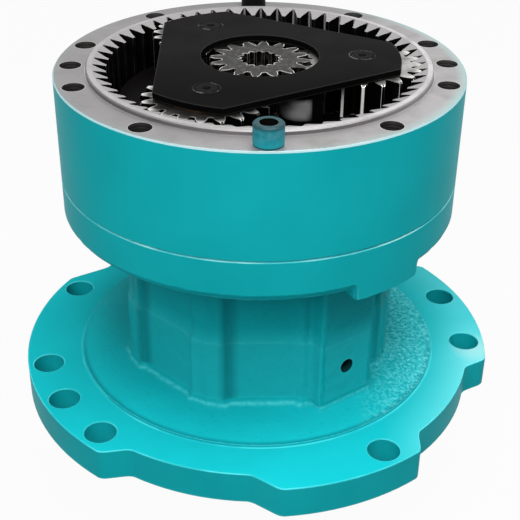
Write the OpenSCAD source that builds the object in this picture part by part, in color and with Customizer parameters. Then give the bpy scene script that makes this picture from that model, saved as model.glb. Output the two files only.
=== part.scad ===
// Two-stage planetary swing gearbox for an excavator's upper structure.
// The origin is the centre of the base flange's mounting face. +Z points up, to the motor face.

/* [Gears] */
// Tooth module of the ring gear, planets and suns
gear_module = 4.5; // [4:0.25:5]
// Pressure angle of these teeth
gear_pressure_angle = 25; // [22.5:0.5:27]
// Teeth of the first-stage sun gear
sun1_teeth = 16; // [16:3:19]
// Teeth of each first-stage planet
planet1_teeth = 20; // [20:3:23]
// Teeth of each second-stage planet
planet2_teeth = 17; // [17:3:20]
// Face width of the first-stage planets
planet1_width = 28; // [22:1:36]
// Face width of the second-stage planets
planet2_width = 34; // [28:1:44]
// How much thinner than its space each tooth is, along the pitch circle
tooth_thinning = 0.2; // [0.16:0.02:0.3]
// Chamfer on the ends of the teeth
tooth_chamfer = 1.2; // [0.6:0.1:2]
// Turn of the ring gear's teeth about its axis
ring_turn = 0.6; // [-3:0.1:3]
// Turn of the first-stage carrier about its axis
carrier1_turn = -1.2; // [-60:0.1:60]
// Turn of the second-stage carrier about its axis
carrier2_turn = 30; // [-60:1:60]

/* [Ring gear and motor face] */
// Metal between the tooth roots and the outside of the motor pilot
pilot_wall = 5.875; // [4.375:0.5:9.875]
// Height of the motor pilot above the motor face
pilot_h = 4; // [2:0.5:7]
// Drop of the cone that is turned on the ring gear's tooth ends, from their roots to their tips
ring_cone_drop = 3.75; // [1.5:0.25:5]
// Clearance hole for a motor bolt
motor_hole_d = 17.5; // [13.5:0.5:19]
// Metal between the pilot and the motor holes
motor_hole_inset = 3.75; // [2.5:0.25:8]
// Metal between the motor holes and the drum's outside
drum_margin = 4.25; // [3:0.25:12]
// Chamfer on the drum's top edge
drum_chamfer = 1.25; // [1:0.25:2.5]
// Outside diameter of the motor's dowel sleeves
sleeve_d = 22; // [18:0.5:24]
// Bore of the dowel sleeves
sleeve_bore_d = 13; // [8:0.5:16]
// Height that a dowel sleeve stands above the motor face
sleeve_rise = 16; // [8:1:24]
// Depth of a dowel sleeve in the ring gear
sleeve_depth = 22; // [14:1:30]

/* [First-stage carrier] */
// Thickness of the black triangular plate
plate_t = 5.25; // [4:0.25:8]
// Height of the plate's top above the motor face
plate_rise = 8; // [5:0.5:12]
// Distance from the axis to each flat side of the plate
plate_apothem = 80; // [79:0.5:90]
// Gap between the plate's corners and the ring gear's teeth
plate_corner_gap = 7.5; // [3:0.5:12]
// Radius of the hole in the plate round the sun gear
plate_hole_r = 47; // [44:0.5:52]
// Thickness of the carrier's disc
disc1_t = 11; // [8:1:16]
// Radius of each post that carries the plate
post1_r = 17; // [12:0.5:18]
// Radius of the circle of posts
post1_circle_r = 61; // [60:0.5:62]
// Radius of a planet pin
pin1_r = 16; // [14:0.5:18]
// Radius of the staked end of a planet pin
stake_r = 10.5; // [8:0.5:12]

/* [Second-stage carrier] */
// Thickness of the carrier's disc
disc2_t = 24; // [18:1:30]
// Thickness of the carrier's upper plate
plate2_t = 8; // [6:0.5:12]
// Radius of each post between the disc and the plate
post2_r = 24; // [18:1:25]
// Radius of the circle of posts
post2_circle_r = 87; // [85:0.5:88]
// Radius of a planet pin
pin2_r = 17; // [13:0.5:18]
// Radius of the hub under the disc
hub_r = 58; // [54:1:66]
// Height of the hub under the disc
hub_h = 16; // [10:1:24]
// Thickness of the bronze ring between the two carriers
thrust_ring_t = 2; // [1.5:0.25:4]

/* [Planet bearings] */
// Diameter of a needle roller
needle_d = 5; // [4:0.5:5.5]
// Thickness of a thrust washer
washer_t = 1; // [0.8:0.1:2]
// Radial width of a thrust washer
washer_w = 15; // [10:0.5:16]

/* [Motor spline] */
// Teeth of the spline in the first sun gear
spline_teeth = 15; // [13:1:16]
// Module of the spline, 12 teeth to the inch
spline_module = 2.117; // [2:0.05:2.2]

/* [Casing] */
// Height of the casing's top joint above the mounting face
joint_z = 202; // [196:1:215]
// Height of the casing's rim
rim_h = 42; // [36:1:48]
// Rounding of the rim's lower edge
rim_round = 11; // [6:1:14]
// How far the chamber inside the rim is wider than the ring gear's tooth roots
chamber_clearance = 1.5; // [1:0.25:4]
// Metal between the neck's flats and the cavity inside it
cavity_wall = 22; // [16:1:26]
// Distance from the axis to each flat of the neck
neck_apothem = 108.5; // [104:0.5:114]
// How far the lower part of the neck stands out past the parting step
parting_step = 1.5; // [0.5:0.25:3]
// Height of the parting step
parting_z = 95; // [70:1:130]
// Width of each rib at the neck's corners
rib_w = 27; // [20:1:32]
// Distance from the axis to the outer face of a rib
rib_r = 115.5; // [113:0.5:120]
// Distance from the axis to the port boss's face
port_face_r = 127; // [122:0.5:134]
// Width of the port boss
port_boss_w = 54; // [44:1:64]
// Height of the port above the mounting face
port_z = 68.7; // [55:0.1:85]
// Diameter of the port's tapped hole
port_d = 12.5; // [8:0.5:16]
// Depth of the boss under the rim
rim_boss_h = 14; // [8:1:20]

/* [Base flange] */
// Thickness of the base flange
base_t = 28; // [22:1:36]
// Diameter of the circle of mounting holes
base_pcd = 378; // [372:1:384]
// Clearance hole for a mounting bolt
base_hole_d = 26; // [22:0.5:28]
// Metal between the mounting holes and the edge of the flange's lobes
lobe_edge = 5; // [3:0.5:9]
// How far the flange is set back between the lobes
notch_depth = 17; // [13:0.5:20]
// How far from a lobe's corner its rounding starts, on either side
lobe_round = 5; // [3:0.5:8]
// Radius of the step round the deck
deck_r = 158; // [150:1:166]
// Height of the deck above the flange where it meets the neck
deck_rise = 7; // [4:0.5:10]
// Radius of the centring spigot under the flange
spigot_r = 155; // [130:1:158]
// Height of the centring spigot
spigot_h = 10; // [6:1:14]

/* [Pinion shaft] */
// Module of the output pinion
pinion_module = 10; // [9:0.25:10]
// Teeth of the output pinion
pinion_teeth = 12; // [11:1:12]
// Profile shift of the output pinion, in modules
pinion_shift = 0.2; // [0.1:0.05:0.3]
// Face width of the output pinion
pinion_width = 78; // [60:1:90]
// Radius of the journal under the oil seal
journal_r = 56; // [54:0.5:60]
// Teeth of the spline under the second-stage carrier
shaft_spline_teeth = 25; // [23:1:25]
// Module of that spline
shaft_spline_module = 3; // [2.75:0.05:3.05]

/* [Main bearings] */
// Bore of the lower bearing
lower_bore_d = 100; // [96:1:104]
// Outside diameter of the lower bearing
lower_outside_d = 180; // [174:1:182]
// Width of the lower bearing
lower_width = 49; // [44:1:54]
// Bore of the upper bearing
upper_bore_d = 85; // [83:0.5:87]
// Outside diameter of the upper bearing
upper_outside_d = 150; // [146:1:156]
// Width of the upper bearing
upper_width = 39; // [34:1:42]
// Rollers in each bearing
roller_count = 18; // [12:1:18]

/* [Seal and fasteners] */
// Thickness of the seal carrier's flange
seal_flange_t = 8; // [6:0.5:10]
// How far the seal carrier's flange stands out past the lower bearing
seal_flange_w = 18; // [16:0.5:24]
// Radial height of the oil seal's section
seal_section = 14; // [12:0.5:18]
// Height of the oil seal
seal_h = 12; // [10:0.5:13]
// Thread diameter of the seal carrier's screws
seal_screw_d = 8; // [6:1:8]
// Thread diameter of the tapped holes under the motor holes
casing_thread_d = 16; // [12:1:16]
// Thickness of the lock nut
nut_t = 12; // [9:1:15]
// Thickness of the lock washer under the nut
lock_washer_t = 2; // [1.5:0.25:3]
// Radius of the lock nut
nut_r = 56; // [52:1:60]

/* [Hidden] */
$fn = 96;

// Clearances: seat_gap and running_gap are radial, end_gap is along the axis
seat_gap = 0.03;
running_gap = 0.12;
end_gap = 0.15;
// How far a cut runs past the surface that it opens
cut = 1;
// Land that the cone on the ring gear's tooth ends takes from outside their roots
ring_cone_margin = 0.6;

// Gear train: the ring gear follows from the suns and planets
planets = 3;
ring_teeth = sun1_teeth + 2 * planet1_teeth;
sun2_teeth = ring_teeth - 2 * planet2_teeth;
orbit1_r = gear_module * (sun1_teeth + planet1_teeth) / 2;
orbit2_r = gear_module * (sun2_teeth + planet2_teeth) / 2;
ring_tip_r = gear_module * (ring_teeth / 2 - 1);
ring_root_r = gear_module * (ring_teeth / 2 + 1.25);
ring_cone_r = ring_root_r + ring_cone_margin;
ring_cone_slope = ring_cone_drop / (ring_cone_r - ring_tip_r);
sun2_tip_r = gear_module * (sun2_teeth / 2 + 1);

// Drum: the ring gear's outside follows from its teeth and the motor's bolts
pilot_r = ring_root_r + pilot_wall;
motor_circle_r = pilot_r + motor_hole_inset + motor_hole_d / 2;
drum_r = motor_circle_r + motor_hole_d / 2 + drum_margin;
motor_hole_angles = [for (step = [0, 1, 3, 7, 9, 10, 11, 13, 17, 19]) 18 * step];
sleeve_angles = [90, 270];
joint_chamfer = 1;
pilot_chamfer = 1.2;

// Levels from the casing's top joint up through both stages
disc2_top_z = joint_z + 1;
planet2_z = disc2_top_z + washer_t + end_gap;
plate2_z = planet2_z + planet2_width + end_gap + washer_t;
plate2_top_z = plate2_z + plate2_t;
disc1_z = plate2_top_z + thrust_ring_t + end_gap;
disc1_top_z = disc1_z + disc1_t;
planet1_z = disc1_top_z + washer_t + end_gap;
plate_z = planet1_z + planet1_width + end_gap + washer_t;
plate_top_z = plate_z + plate_t;
motor_face_z = plate_top_z - plate_rise;

// Levels from the casing's top joint down to the upper bearing
disc2_z = disc2_top_z - disc2_t;
hub_z = disc2_z - hub_h;
nut_z = hub_z - nut_t;
upper_top_z = nut_z - lock_washer_t;
upper_z = upper_top_z - upper_width;

// Levels of the seal carrier, the lower bearing and the pinion
seal_spigot_h = 8;
pinion_gap = 6;
lower_z = seal_spigot_h - spigot_h;
lower_top_z = lower_z + lower_width;
seal_flange_z = -spigot_h - seal_flange_t;
pinion_top_z = seal_flange_z - pinion_gap;
pinion_z = pinion_top_z - pinion_width;

// Casing
rim_z = joint_z - rim_h;
chamber_r = ring_root_r + chamber_clearance;
chamber_floor = 13;
shoulder_w = 8;
cavity_r = neck_apothem - cavity_wall;
// Heights of the cones at the cavity's lower and upper end
cavity_foot_h = 4;
cavity_roof_h = 12;
// Plain bore above the upper bearing, and the cone over it
upper_lip_h = 3;
mouth_cone_w = 9;
mouth_cone_h = 8;
chamber_bevel = 5;
rib_round = 5;
foot_bead_w = 4;
foot_bead_h = 2;
// How much higher the bead ends on the ribs than on the flats
foot_bead_step = 0.5;
port_angle = -57;
port_boss_round = 6;
rim_boss_angles = [-62, -35];
rim_boss_inset = 5;
thread_depth = 32;
o_ring_d = 3.4;
o_ring_r = chamber_r + 4.5;
// Room beside an O-ring in its groove, and between its groove's floor and the ring
o_ring_side_gap = 0.3;
o_ring_floor_gap = 0.03;
joint_dowel_r = 5;
joint_dowel_l = 24;

// Base flange: its outline follows from the mounting holes. Each lobe is [start of ramp,
// start of lobe, end of lobe, end of ramp], in degrees
lobe_r = base_pcd / 2 + base_hole_d / 2 + lobe_edge;
notch_r = lobe_r - notch_depth;
lobes = [[141, 151, 231, 236], [266.5, 273, 307, 311.5], [343, 347.5, 394, 399],
    [418, 423, 480, 486]];
base_hole_angles = [18, 74, 91, 108, 154.5, 192.5, 209, 226, 300, 355];
deck_step = 1.75;
// The lobes' roundings end this far past the circles, so that they cross them
rounding_cross = 0.3;
rounding_steps = 5;
flange_chamfer = 1.5;

// Shaft
lower_seat_r = lower_bore_d / 2;
upper_seat_r = upper_bore_d / 2;
thread_r = upper_seat_r - 0.8;
shaft_recess = 7;
shaft_end_z = disc2_top_z - shaft_recess;
shaft_relief = 3;
journal_chamfer = 1;
keyway_w = 8;
keyway_depth = 4;
retainer_t = 5;
retainer_r = 46;
retainer_bore_r = 10;
retainer_screw_circle_r = 24;
retainer_screw_angles = [0, 120, 240];
retainer_screw_r = 5;
retainer_screw_l = 20;
screw_thread_gap = 0.06;
centre_drill_r = 6;
centre_drill_h = 15;
lock_tab_w = 6;
lock_tab_l = 7;
nut_slot_w = 10;
nut_slot_depth = 4;
pinion_pressure_angle = 20;
spline_pressure_angle = 30;

// Seal carrier
seal_flange_r = lower_outside_d / 2 + seal_flange_w;
seal_seat_r = journal_r + seal_section;
seal_screw_circle_r = (lower_outside_d / 2 + seal_flange_r) / 2;
seal_screw_angles = [for (i = [0:7]) 22.5 + 45 * i];
seal_screw_r = seal_screw_d / 2;
seal_screw_l = 22;
seal_screw_spare = 3;
screw_hole_gap = 0.5;
seal_o_ring_d = 2.7;
seal_groove_z = -spigot_h + 2;
// How far the carrier reaches in under the bearing's outer ring, and the recess inside that
cup_lip_w = 8;
cup_recess = 2;
seal_shoulder_gap = 4;
// Thickness of the oil seal's case, and how far the case stays off the journal
seal_case_t = 3;
seal_lip_root = 2;

// Planets and their bearings
carrier1_gap = 6;
carrier2_gap = 3.5;
carrier1_r = ring_tip_r - carrier1_gap;
carrier2_r = ring_tip_r - carrier2_gap;
plate_r = ring_tip_r - plate_corner_gap;
lock_pin_r = 2.5;
pin_centre_r = 2.2;
pin_centre_h = 12;
stake_rise = 0.3;
snap_ring_t = 2;
snap_ring_w = 6;
snap_ring_opening = 10;
// Depth of a snap ring's groove in the second sun and in the first carrier
sun2_groove = 4;
carrier1_groove = 2.5;
sun2_recess = 4;
sun2_top_z = disc1_top_z - sun2_recess;
plate2_hole_r = sun2_tip_r + snap_ring_w + 3;
thrust_ring_inset = 5;
thrust_ring_w = 18;
// Root and tip of the first carrier's bore round the second sun's teeth, in modules
sun2_seat = [1.2, 1.05];
sun2_bore_r = 22;
button_t = 2.6;
button_depth = 8;
sun1_rise = 5;
sun1_hub_r = gear_module * (sun1_teeth / 2 - 1.25) - 2;
pin1_angles = [for (i = [0:planets - 1]) carrier1_turn + 360 * i / planets];
pin2_angles = [for (i = [0:planets - 1]) carrier2_turn + 360 * i / planets];

// Turns at which the planets and suns are in mesh with the ring gear
function planet_turn(angle, teeth) = angle - (ring_teeth * (angle - ring_turn) - 180) / teeth;
function sun_turn(angle, teeth, planet_teeth) =
    angle - (180 - planet_teeth * (angle + 180 - planet_turn(angle, planet_teeth))) / teeth;
sun1_turn = sun_turn(carrier1_turn, sun1_teeth, planet1_teeth);
sun2_turn = sun_turn(carrier2_turn, sun2_teeth, planet2_teeth);

// Involute teeth
function polar(r, a) = [r * cos(a), r * sin(a)];
function to_degrees(x) = x * 180 / PI;
function involute_angle(a) = to_degrees(tan(a)) - a;
// Half of the angle that a tooth spans at radius r. A tooth has thin above 0, a space has it below 0
function half_tooth(teeth, m, pa, r, thin, shift) =
    90 / teeth + to_degrees(2 * shift * tan(pa) / teeth) - to_degrees(thin / (m * teeth))
    + involute_angle(pa) - involute_angle(acos(min(1, m * teeth * cos(pa) / 2 / r)));
// One side of a tooth, as [radius, half angle], from its root to its tip
function tooth_side(teeth, m, pa, root_r, tip_r, thin, shift, steps) =
    let (start_r = max(root_r, m * teeth * cos(pa) / 2 + 0.01),
        foot = half_tooth(teeth, m, pa, start_r, thin, shift),
        fillet = root_r < start_r - 0.3 ? [[root_r, foot + to_degrees(0.6 / root_r)]] : [],
        radii = [for (i = [0:steps]) start_r + (tip_r - start_r) * i / steps])
    concat(fillet, [for (r = radii) [r, half_tooth(teeth, m, pa, r, thin, shift)]]);
function gear_outline(teeth, m, pa, root_r, tip_r, thin, shift = 0, steps = 5) =
    let (side = tooth_side(teeth, m, pa, root_r, tip_r, thin, shift, steps), last = len(side) - 1)
    [for (tooth = [0:teeth - 1]) each concat(
        [for (i = [0:last]) polar(side[i][0], 360 * tooth / teeth - side[i][1])],
        [for (i = [0:last]) polar(side[last - i][0], 360 * tooth / teeth + side[last - i][1])])];

// Outline of one of the gears of both stages, thinned by half of the backlash or grown by it
module gear_2d(teeth, thin, root_extra = 1.25, tip_extra = 1) {
    polygon(gear_outline(teeth, gear_module, gear_pressure_angle,
        gear_module * (teeth / 2 - root_extra), gear_module * (teeth / 2 + tip_extra), thin));
}

module disc(r, z_low, z_high) {
    translate([0, 0, z_low]) cylinder(r = r, h = z_high - z_low);
}

module tube(r_in, r_out, z_low, z_high) {
    difference() {
        disc(r_out, z_low, z_high);
        disc(r_in, z_low - cut, z_high + cut);
    }
}

// A disc whose edges are chamfered below and above
module chamfered_disc(r, z_low, z_high, c_low, c_high) {
    rotate_extrude() polygon([[0, z_low], [r - c_low, z_low], [r, z_low + c_low],
        [r, z_high - c_high], [r - c_high, z_high], [0, z_high]]);
}

module torus(r, thickness, z) {
    rotate_extrude() translate([r, z]) circle(d = thickness, $fn = 24);
}

module around(angles, r) {
    for (a = angles) rotate(a) translate([r, 0, 0]) children();
}

// Gear of either stage, with the ends of its teeth chamfered
module spur_gear(teeth, turn, z_low, z_high) {
    intersection() {
        translate([0, 0, z_low]) rotate(turn) linear_extrude(z_high - z_low)
            gear_2d(teeth, tooth_thinning);
        chamfered_disc(gear_module * (teeth / 2 + 1) + 0.1, z_low, z_high, tooth_chamfer, tooth_chamfer);
    }
}

// Tapered roller bearings, each [bore radius, outside radius, width]. They are drawn about
// their middle with the small end up, and all their cones meet the axis at one apex.
lower_bearing = [lower_bore_d / 2, lower_outside_d / 2, lower_width];
upper_bearing = [upper_bore_d / 2, upper_outside_d / 2, upper_width];
bearing_tilt = 13;
bearing_rib_h = 3.9;
function mean_r(b) = (b[0] + b[1]) / 2;
function roller_r(b) = (b[1] - b[0]) / 4;
function roller_l(b) = (b[2] - 13) / cos(bearing_tilt);
function apex_h(b) = mean_r(b) / tan(bearing_tilt);
function apex_to_roller(b) = mean_r(b) / sin(bearing_tilt);
function roller_taper(b) = atan(roller_r(b) / apex_to_roller(b));
function race_r(b, angle, z) = (apex_h(b) - z) * tan(angle);

module tapered_rollers(b, extra_r = 0, extra_l = 0) {
    half_l = roller_l(b) / 2 + extra_l;
    for (i = [0:roller_count - 1]) rotate(360 * i / roller_count) translate([mean_r(b), 0, 0])
        rotate([0, -bearing_tilt, 0]) translate([0, 0, -half_l])
            cylinder(r1 = (apex_to_roller(b) + half_l) * tan(roller_taper(b)) + extra_r,
                r2 = (apex_to_roller(b) - half_l) * tan(roller_taper(b)) + extra_r, h = 2 * half_l,
                $fn = 32);
}

module bearing_cup(b) {
    half_w = b[2] / 2;
    angle = bearing_tilt + roller_taper(b);
    rotate_extrude() polygon([[race_r(b, angle, -half_w) + running_gap, -half_w], [b[1] - seat_gap, -half_w],
        [b[1] - seat_gap, half_w], [race_r(b, angle, half_w) + running_gap, half_w]]);
}

module bearing_cone(b) {
    half_w = b[2] / 2;
    angle = bearing_tilt - roller_taper(b);
    rib_z = -half_w + bearing_rib_h;
    lip_z = half_w - bearing_rib_h;
    lip_r = race_r(b, angle, lip_z) + roller_r(b) / 3;
    rotate_extrude() polygon([[b[0] + seat_gap, -half_w], [mean_r(b) - 1, -half_w],
        [mean_r(b) - 1, rib_z], [race_r(b, angle, rib_z) - running_gap, rib_z],
        [race_r(b, angle, lip_z) - running_gap, lip_z], [lip_r, lip_z], [lip_r, half_w],
        [b[0] + seat_gap, half_w]]);
}

module bearing_cage(b) {
    half_w = b[2] / 2 - 2;
    difference() {
        rotate_extrude() polygon([[race_r(b, bearing_tilt, -half_w) - 1, -half_w],
            [race_r(b, bearing_tilt, -half_w) + 1.2, -half_w],
            [race_r(b, bearing_tilt, half_w) + 1.2, half_w],
            [race_r(b, bearing_tilt, half_w) - 1, half_w]]);
        tapered_rollers(b, 0.2, 0.4);
    }
}

module at_lower_bearing() {
    translate([0, 0, lower_z + lower_width / 2]) children();
}

module at_upper_bearing() {
    translate([0, 0, upper_z + upper_width / 2]) mirror([0, 0, 1]) children();
}

// A point on the straight ramp of a lobe: t is 0 on the notch circle and 1 on the lobe's own
function ramp_point(start_angle, end_angle, t) =
    (1 - t) * polar(notch_r, start_angle) + t * polar(lobe_r, end_angle);

// A corner rounded by a curve from one point to another, drawn towards the corner between them
function rounding(from, corner, to) = [for (i = [0:rounding_steps]) let (t = i / rounding_steps)
    pow(1 - t, 2) * from + 2 * t * (1 - t) * corner + pow(t, 2) * to];

// One side of a lobe, from the notch circle up the ramp to the lobe's own circle. Both of its
// corners are rounded. The side that is met first has inward = 1 and the other -1
function lobe_side(start_angle, end_angle, inward) =
    let (
        foot = ramp_point(start_angle, end_angle, 0),
        shoulder = ramp_point(start_angle, end_angle, 1),
        t = lobe_round / norm(shoulder - foot),
        before = start_angle - inward * lobe_round / notch_r * 180 / PI,
        after = end_angle + inward * lobe_round / lobe_r * 180 / PI
    )
    concat(
        rounding(polar(notch_r - rounding_cross, before), foot, ramp_point(start_angle, end_angle, t)),
        rounding(ramp_point(start_angle, end_angle, 1 - t), shoulder, polar(lobe_r + rounding_cross, after))
    );

function reversed(points) = [for (i = [len(points) - 1:-1:0]) points[i]];

// Base flange: the notch circle, with a lobe of straight ramps and a round end in each sector
module base_outline() {
    circle(r = notch_r);
    intersection() {
        circle(r = lobe_r);
        for (lobe = lobes) polygon(concat([[0, 0]], lobe_side(lobe[0], lobe[1], 1),
            [polar(3 * lobe_r, (lobe[1] + lobe[2]) / 2)], reversed(lobe_side(lobe[3], lobe[2], -1))));
    }
}

module octagon(apothem, z_low, z_high) {
    translate([0, 0, z_low]) rotate(22.5) cylinder(r = apothem / cos(22.5), h = z_high - z_low, $fn = 8);
}

// Column with a round-cornered rectangular section, from the axis out to its face
module column(face_r, width, corner_r, z_low, z_high) {
    half = width / 2 - corner_r;
    translate([0, 0, z_low]) linear_extrude(z_high - z_low) {
        translate([0, -width / 2]) square([face_r - corner_r, width]);
        translate([0, -half]) square([face_r, 2 * half]);
        for (side = [-1, 1]) translate([face_r - corner_r, side * half]) circle(r = corner_r, $fn = 32);
    }
}

// One layer of the neck: its flats, and its ribs, which end rib_step above them
module neck_layer(stand_out, top_z, rib_step = 0) {
    octagon(neck_apothem + stand_out, base_t, top_z);
    for (i = [0:7]) rotate(22.5 + 45 * i)
        column(rib_r + stand_out, rib_w + 2 * stand_out, rib_round, base_t, top_z + rib_step);
}

// The neck runs up to the rim. It is a little wider under the parting step, and a bead runs
// round its foot
module neck() {
    neck_layer(0, rim_z + cut);
    neck_layer(parting_step, parting_z, parting_step);
    neck_layer(foot_bead_w, base_t + deck_rise + foot_bead_h, foot_bead_step);
    rotate(port_angle) column(port_face_r, port_boss_w, port_boss_round, base_t, rim_z + cut);
}

// The rim, with a round lower edge, and the boss under it
module rim() {
    rotate_extrude() {
        translate([0, rim_z]) square([drum_r - rim_round, rim_h]);
        translate([0, rim_z + rim_round]) square([drum_r - joint_chamfer, rim_h - rim_round]);
        translate([0, rim_z + rim_round]) square([drum_r, rim_h - rim_round - joint_chamfer]);
        translate([drum_r - rim_round, rim_z + rim_round]) circle(r = rim_round);
    }
    intersection() {
        chamfered_disc(drum_r - rim_boss_inset, rim_z - rim_boss_h, rim_z + rim_round, rim_boss_inset, 0);
        linear_extrude(joint_z) polygon([[0, 0], polar(2 * drum_r, rim_boss_angles[0]),
            polar(3 * drum_r, (rim_boss_angles[0] + rim_boss_angles[1]) / 2),
            polar(2 * drum_r, rim_boss_angles[1])]);
    }
}

// Everything that is hollow about the axis, from the spigot to the chamber
module casing_bore() {
    lower_r = lower_outside_d / 2;
    upper_r = upper_outside_d / 2;
    floor_z = rim_z + chamber_floor;
    rotate_extrude() polygon([[0, -spigot_h - cut], [lower_r, -spigot_h - cut], [lower_r, lower_top_z],
        [lower_r - shoulder_w, lower_top_z], [lower_r - shoulder_w, lower_top_z + shoulder_w],
        [cavity_r, lower_top_z + shoulder_w + cavity_foot_h],
        [cavity_r, upper_z - shoulder_w - cavity_roof_h],
        [upper_r - shoulder_w, upper_z - shoulder_w], [upper_r - shoulder_w, upper_z],
        [upper_r, upper_z], [upper_r, upper_top_z + upper_lip_h],
        [upper_r + mouth_cone_w, upper_top_z + upper_lip_h + mouth_cone_h],
        [chamber_r - chamber_bevel, floor_z], [chamber_r, floor_z + chamber_bevel],
        [chamber_r, joint_z + cut], [0, joint_z + cut]]);
}

module lower_casing() {
    color("darkturquoise") difference() {
        union() {
            linear_extrude(base_t) base_outline();
            chamfered_disc(spigot_r, -spigot_h, cut, flange_chamfer, 0);
            rotate_extrude() polygon([[0, 0], [deck_r, 0], [deck_r, base_t + deck_step],
                [neck_apothem, base_t + deck_rise], [0, base_t + deck_rise]]);
            neck();
            rim();
        }
        casing_bore();
        around(base_hole_angles, base_pcd / 2) disc(base_hole_d / 2, -cut, base_t + cut);
        around(motor_hole_angles, motor_circle_r)
            disc(casing_thread_d / 2, joint_z - thread_depth, joint_z + cut);
        around(sleeve_angles, motor_circle_r)
            disc(joint_dowel_r + seat_gap, joint_z - joint_dowel_l / 2 - cut, joint_z + cut);
        tube(o_ring_r - o_ring_d / 2 - o_ring_side_gap, o_ring_r + o_ring_d / 2 + o_ring_side_gap,
            joint_z - o_ring_d - 2 * o_ring_floor_gap, joint_z + cut);
        rotate(port_angle) translate([cavity_r - cut, 0, port_z]) rotate([0, 90, 0])
            cylinder(d = port_d, h = port_face_r - cavity_r + 2 * cut);
        around(seal_screw_angles, seal_screw_circle_r)
            disc(seal_screw_r, -spigot_h - cut, -spigot_h + seal_screw_l - seal_flange_t + seal_screw_spare);
    }
}

module ring_gear() {
    color("silver") difference() {
        union() {
            chamfered_disc(drum_r, joint_z, motor_face_z, joint_chamfer, drum_chamfer);
            chamfered_disc(pilot_r, joint_z + cut, motor_face_z + pilot_h, 0, pilot_chamfer);
        }
        translate([0, 0, joint_z - cut]) rotate(ring_turn + 180 / ring_teeth)
            linear_extrude(motor_face_z + pilot_h - joint_z + 2 * cut)
                gear_2d(ring_teeth, -tooth_thinning, 1, 1.25);
        translate([0, 0, motor_face_z + pilot_h - ring_cone_drop - cut * ring_cone_slope])
            cylinder(r1 = ring_tip_r - cut, r2 = ring_cone_r + cut,
                h = ring_cone_drop + 2 * cut * ring_cone_slope);
        around(motor_hole_angles, motor_circle_r) disc(motor_hole_d / 2, joint_z - cut, motor_face_z + cut);
        around(sleeve_angles, motor_circle_r) {
            disc(sleeve_d / 2 + seat_gap, motor_face_z - sleeve_depth, motor_face_z + cut);
            disc(joint_dowel_r + seat_gap, joint_z - cut, joint_z + joint_dowel_l / 2 + cut);
        }
    }
}

module joint_o_ring() {
    color("black") torus(o_ring_r, o_ring_d, joint_z - o_ring_d / 2 - o_ring_floor_gap);
}

module joint_dowels() {
    color("gray") around(sleeve_angles, motor_circle_r)
        chamfered_disc(joint_dowel_r, joint_z - joint_dowel_l / 2, joint_z + joint_dowel_l / 2, 1, 1);
}

module motor_dowel_sleeves() {
    color("steelblue") around(sleeve_angles, motor_circle_r) difference() {
        chamfered_disc(sleeve_d / 2, motor_face_z - sleeve_depth, motor_face_z + sleeve_rise, 1, 1);
        disc(sleeve_bore_d / 2, motor_face_z - sleeve_depth - cut, motor_face_z + sleeve_rise + cut);
    }
}

module lower_bearing_cup() {
    color("lightgray") at_lower_bearing() bearing_cup(lower_bearing);
}

module upper_bearing_cup() {
    color("lightgray") at_upper_bearing() bearing_cup(upper_bearing);
}

// Flanged ring that closes the lower bearing's bore and holds the oil seal
module seal_carrier() {
    cup_seat_r = lower_outside_d / 2 - cup_lip_w;
    spigot_out_r = lower_outside_d / 2 - seat_gap;
    groove_w = seal_o_ring_d + 2 * o_ring_side_gap;
    color("dimgray") difference() {
        union() {
            chamfered_disc(seal_flange_r, seal_flange_z, -spigot_h, flange_chamfer, 0);
            disc(spigot_out_r, -spigot_h - cut, lower_z);
        }
        disc(cup_seat_r, lower_z - cup_recess, lower_z + cut);
        disc(seal_seat_r + seat_gap, seal_flange_z - cut, seal_flange_z + seal_h);
        disc(journal_r + seal_shoulder_gap, seal_flange_z - cut, lower_z + cut);
        tube(spigot_out_r - seal_o_ring_d, spigot_out_r + cut, seal_groove_z, seal_groove_z + groove_w);
        around(seal_screw_angles, seal_screw_circle_r)
            disc(seal_screw_r + screw_hole_gap, seal_flange_z - cut, -spigot_h + cut);
    }
}

module seal_carrier_o_ring() {
    color("black") torus(lower_outside_d / 2 - seat_gap - seal_o_ring_d / 2,
        seal_o_ring_d - 2 * o_ring_floor_gap, seal_groove_z + seal_o_ring_d / 2 + o_ring_side_gap);
}

module seal_carrier_screws() {
    color("dimgray") around(seal_screw_angles, seal_screw_circle_r) {
        disc(seal_screw_r - 0.05, seal_flange_z - cut, seal_flange_z + seal_screw_l);
        difference() {
            chamfered_disc(0.8 * seal_screw_d, seal_flange_z - seal_screw_d, seal_flange_z, 0.6, 0);
            translate([0, 0, seal_flange_z - seal_screw_d - cut])
                cylinder(r = 0.45 * seal_screw_d, h = seal_screw_d / 2 + cut, $fn = 6);
        }
    }
}

// Rotary seal: a channel of steel and rubber, with a main lip and a dust lip on the journal
module oil_seal() {
    z_low = seal_flange_z + 0.5;
    z_high = seal_flange_z + seal_h;
    lip_r = journal_r + running_gap;
    color("saddlebrown") rotate_extrude() {
        translate([seal_seat_r - seal_case_t, z_low]) square([seal_case_t, z_high - z_low]);
        translate([lip_r + seal_lip_root, z_low])
            square([seal_seat_r - seal_case_t / 2 - lip_r - seal_lip_root, seal_case_t]);
        polygon([[lip_r + 5, z_low], [lip_r + 2.5, z_high - 3], [lip_r, z_high - 4.5],
            [lip_r + 1.5, z_high - 6], [lip_r + seal_lip_root, z_low + 2], [lip_r, z_low + 0.8],
            [lip_r + 1, z_low]]);
    }
}

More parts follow.
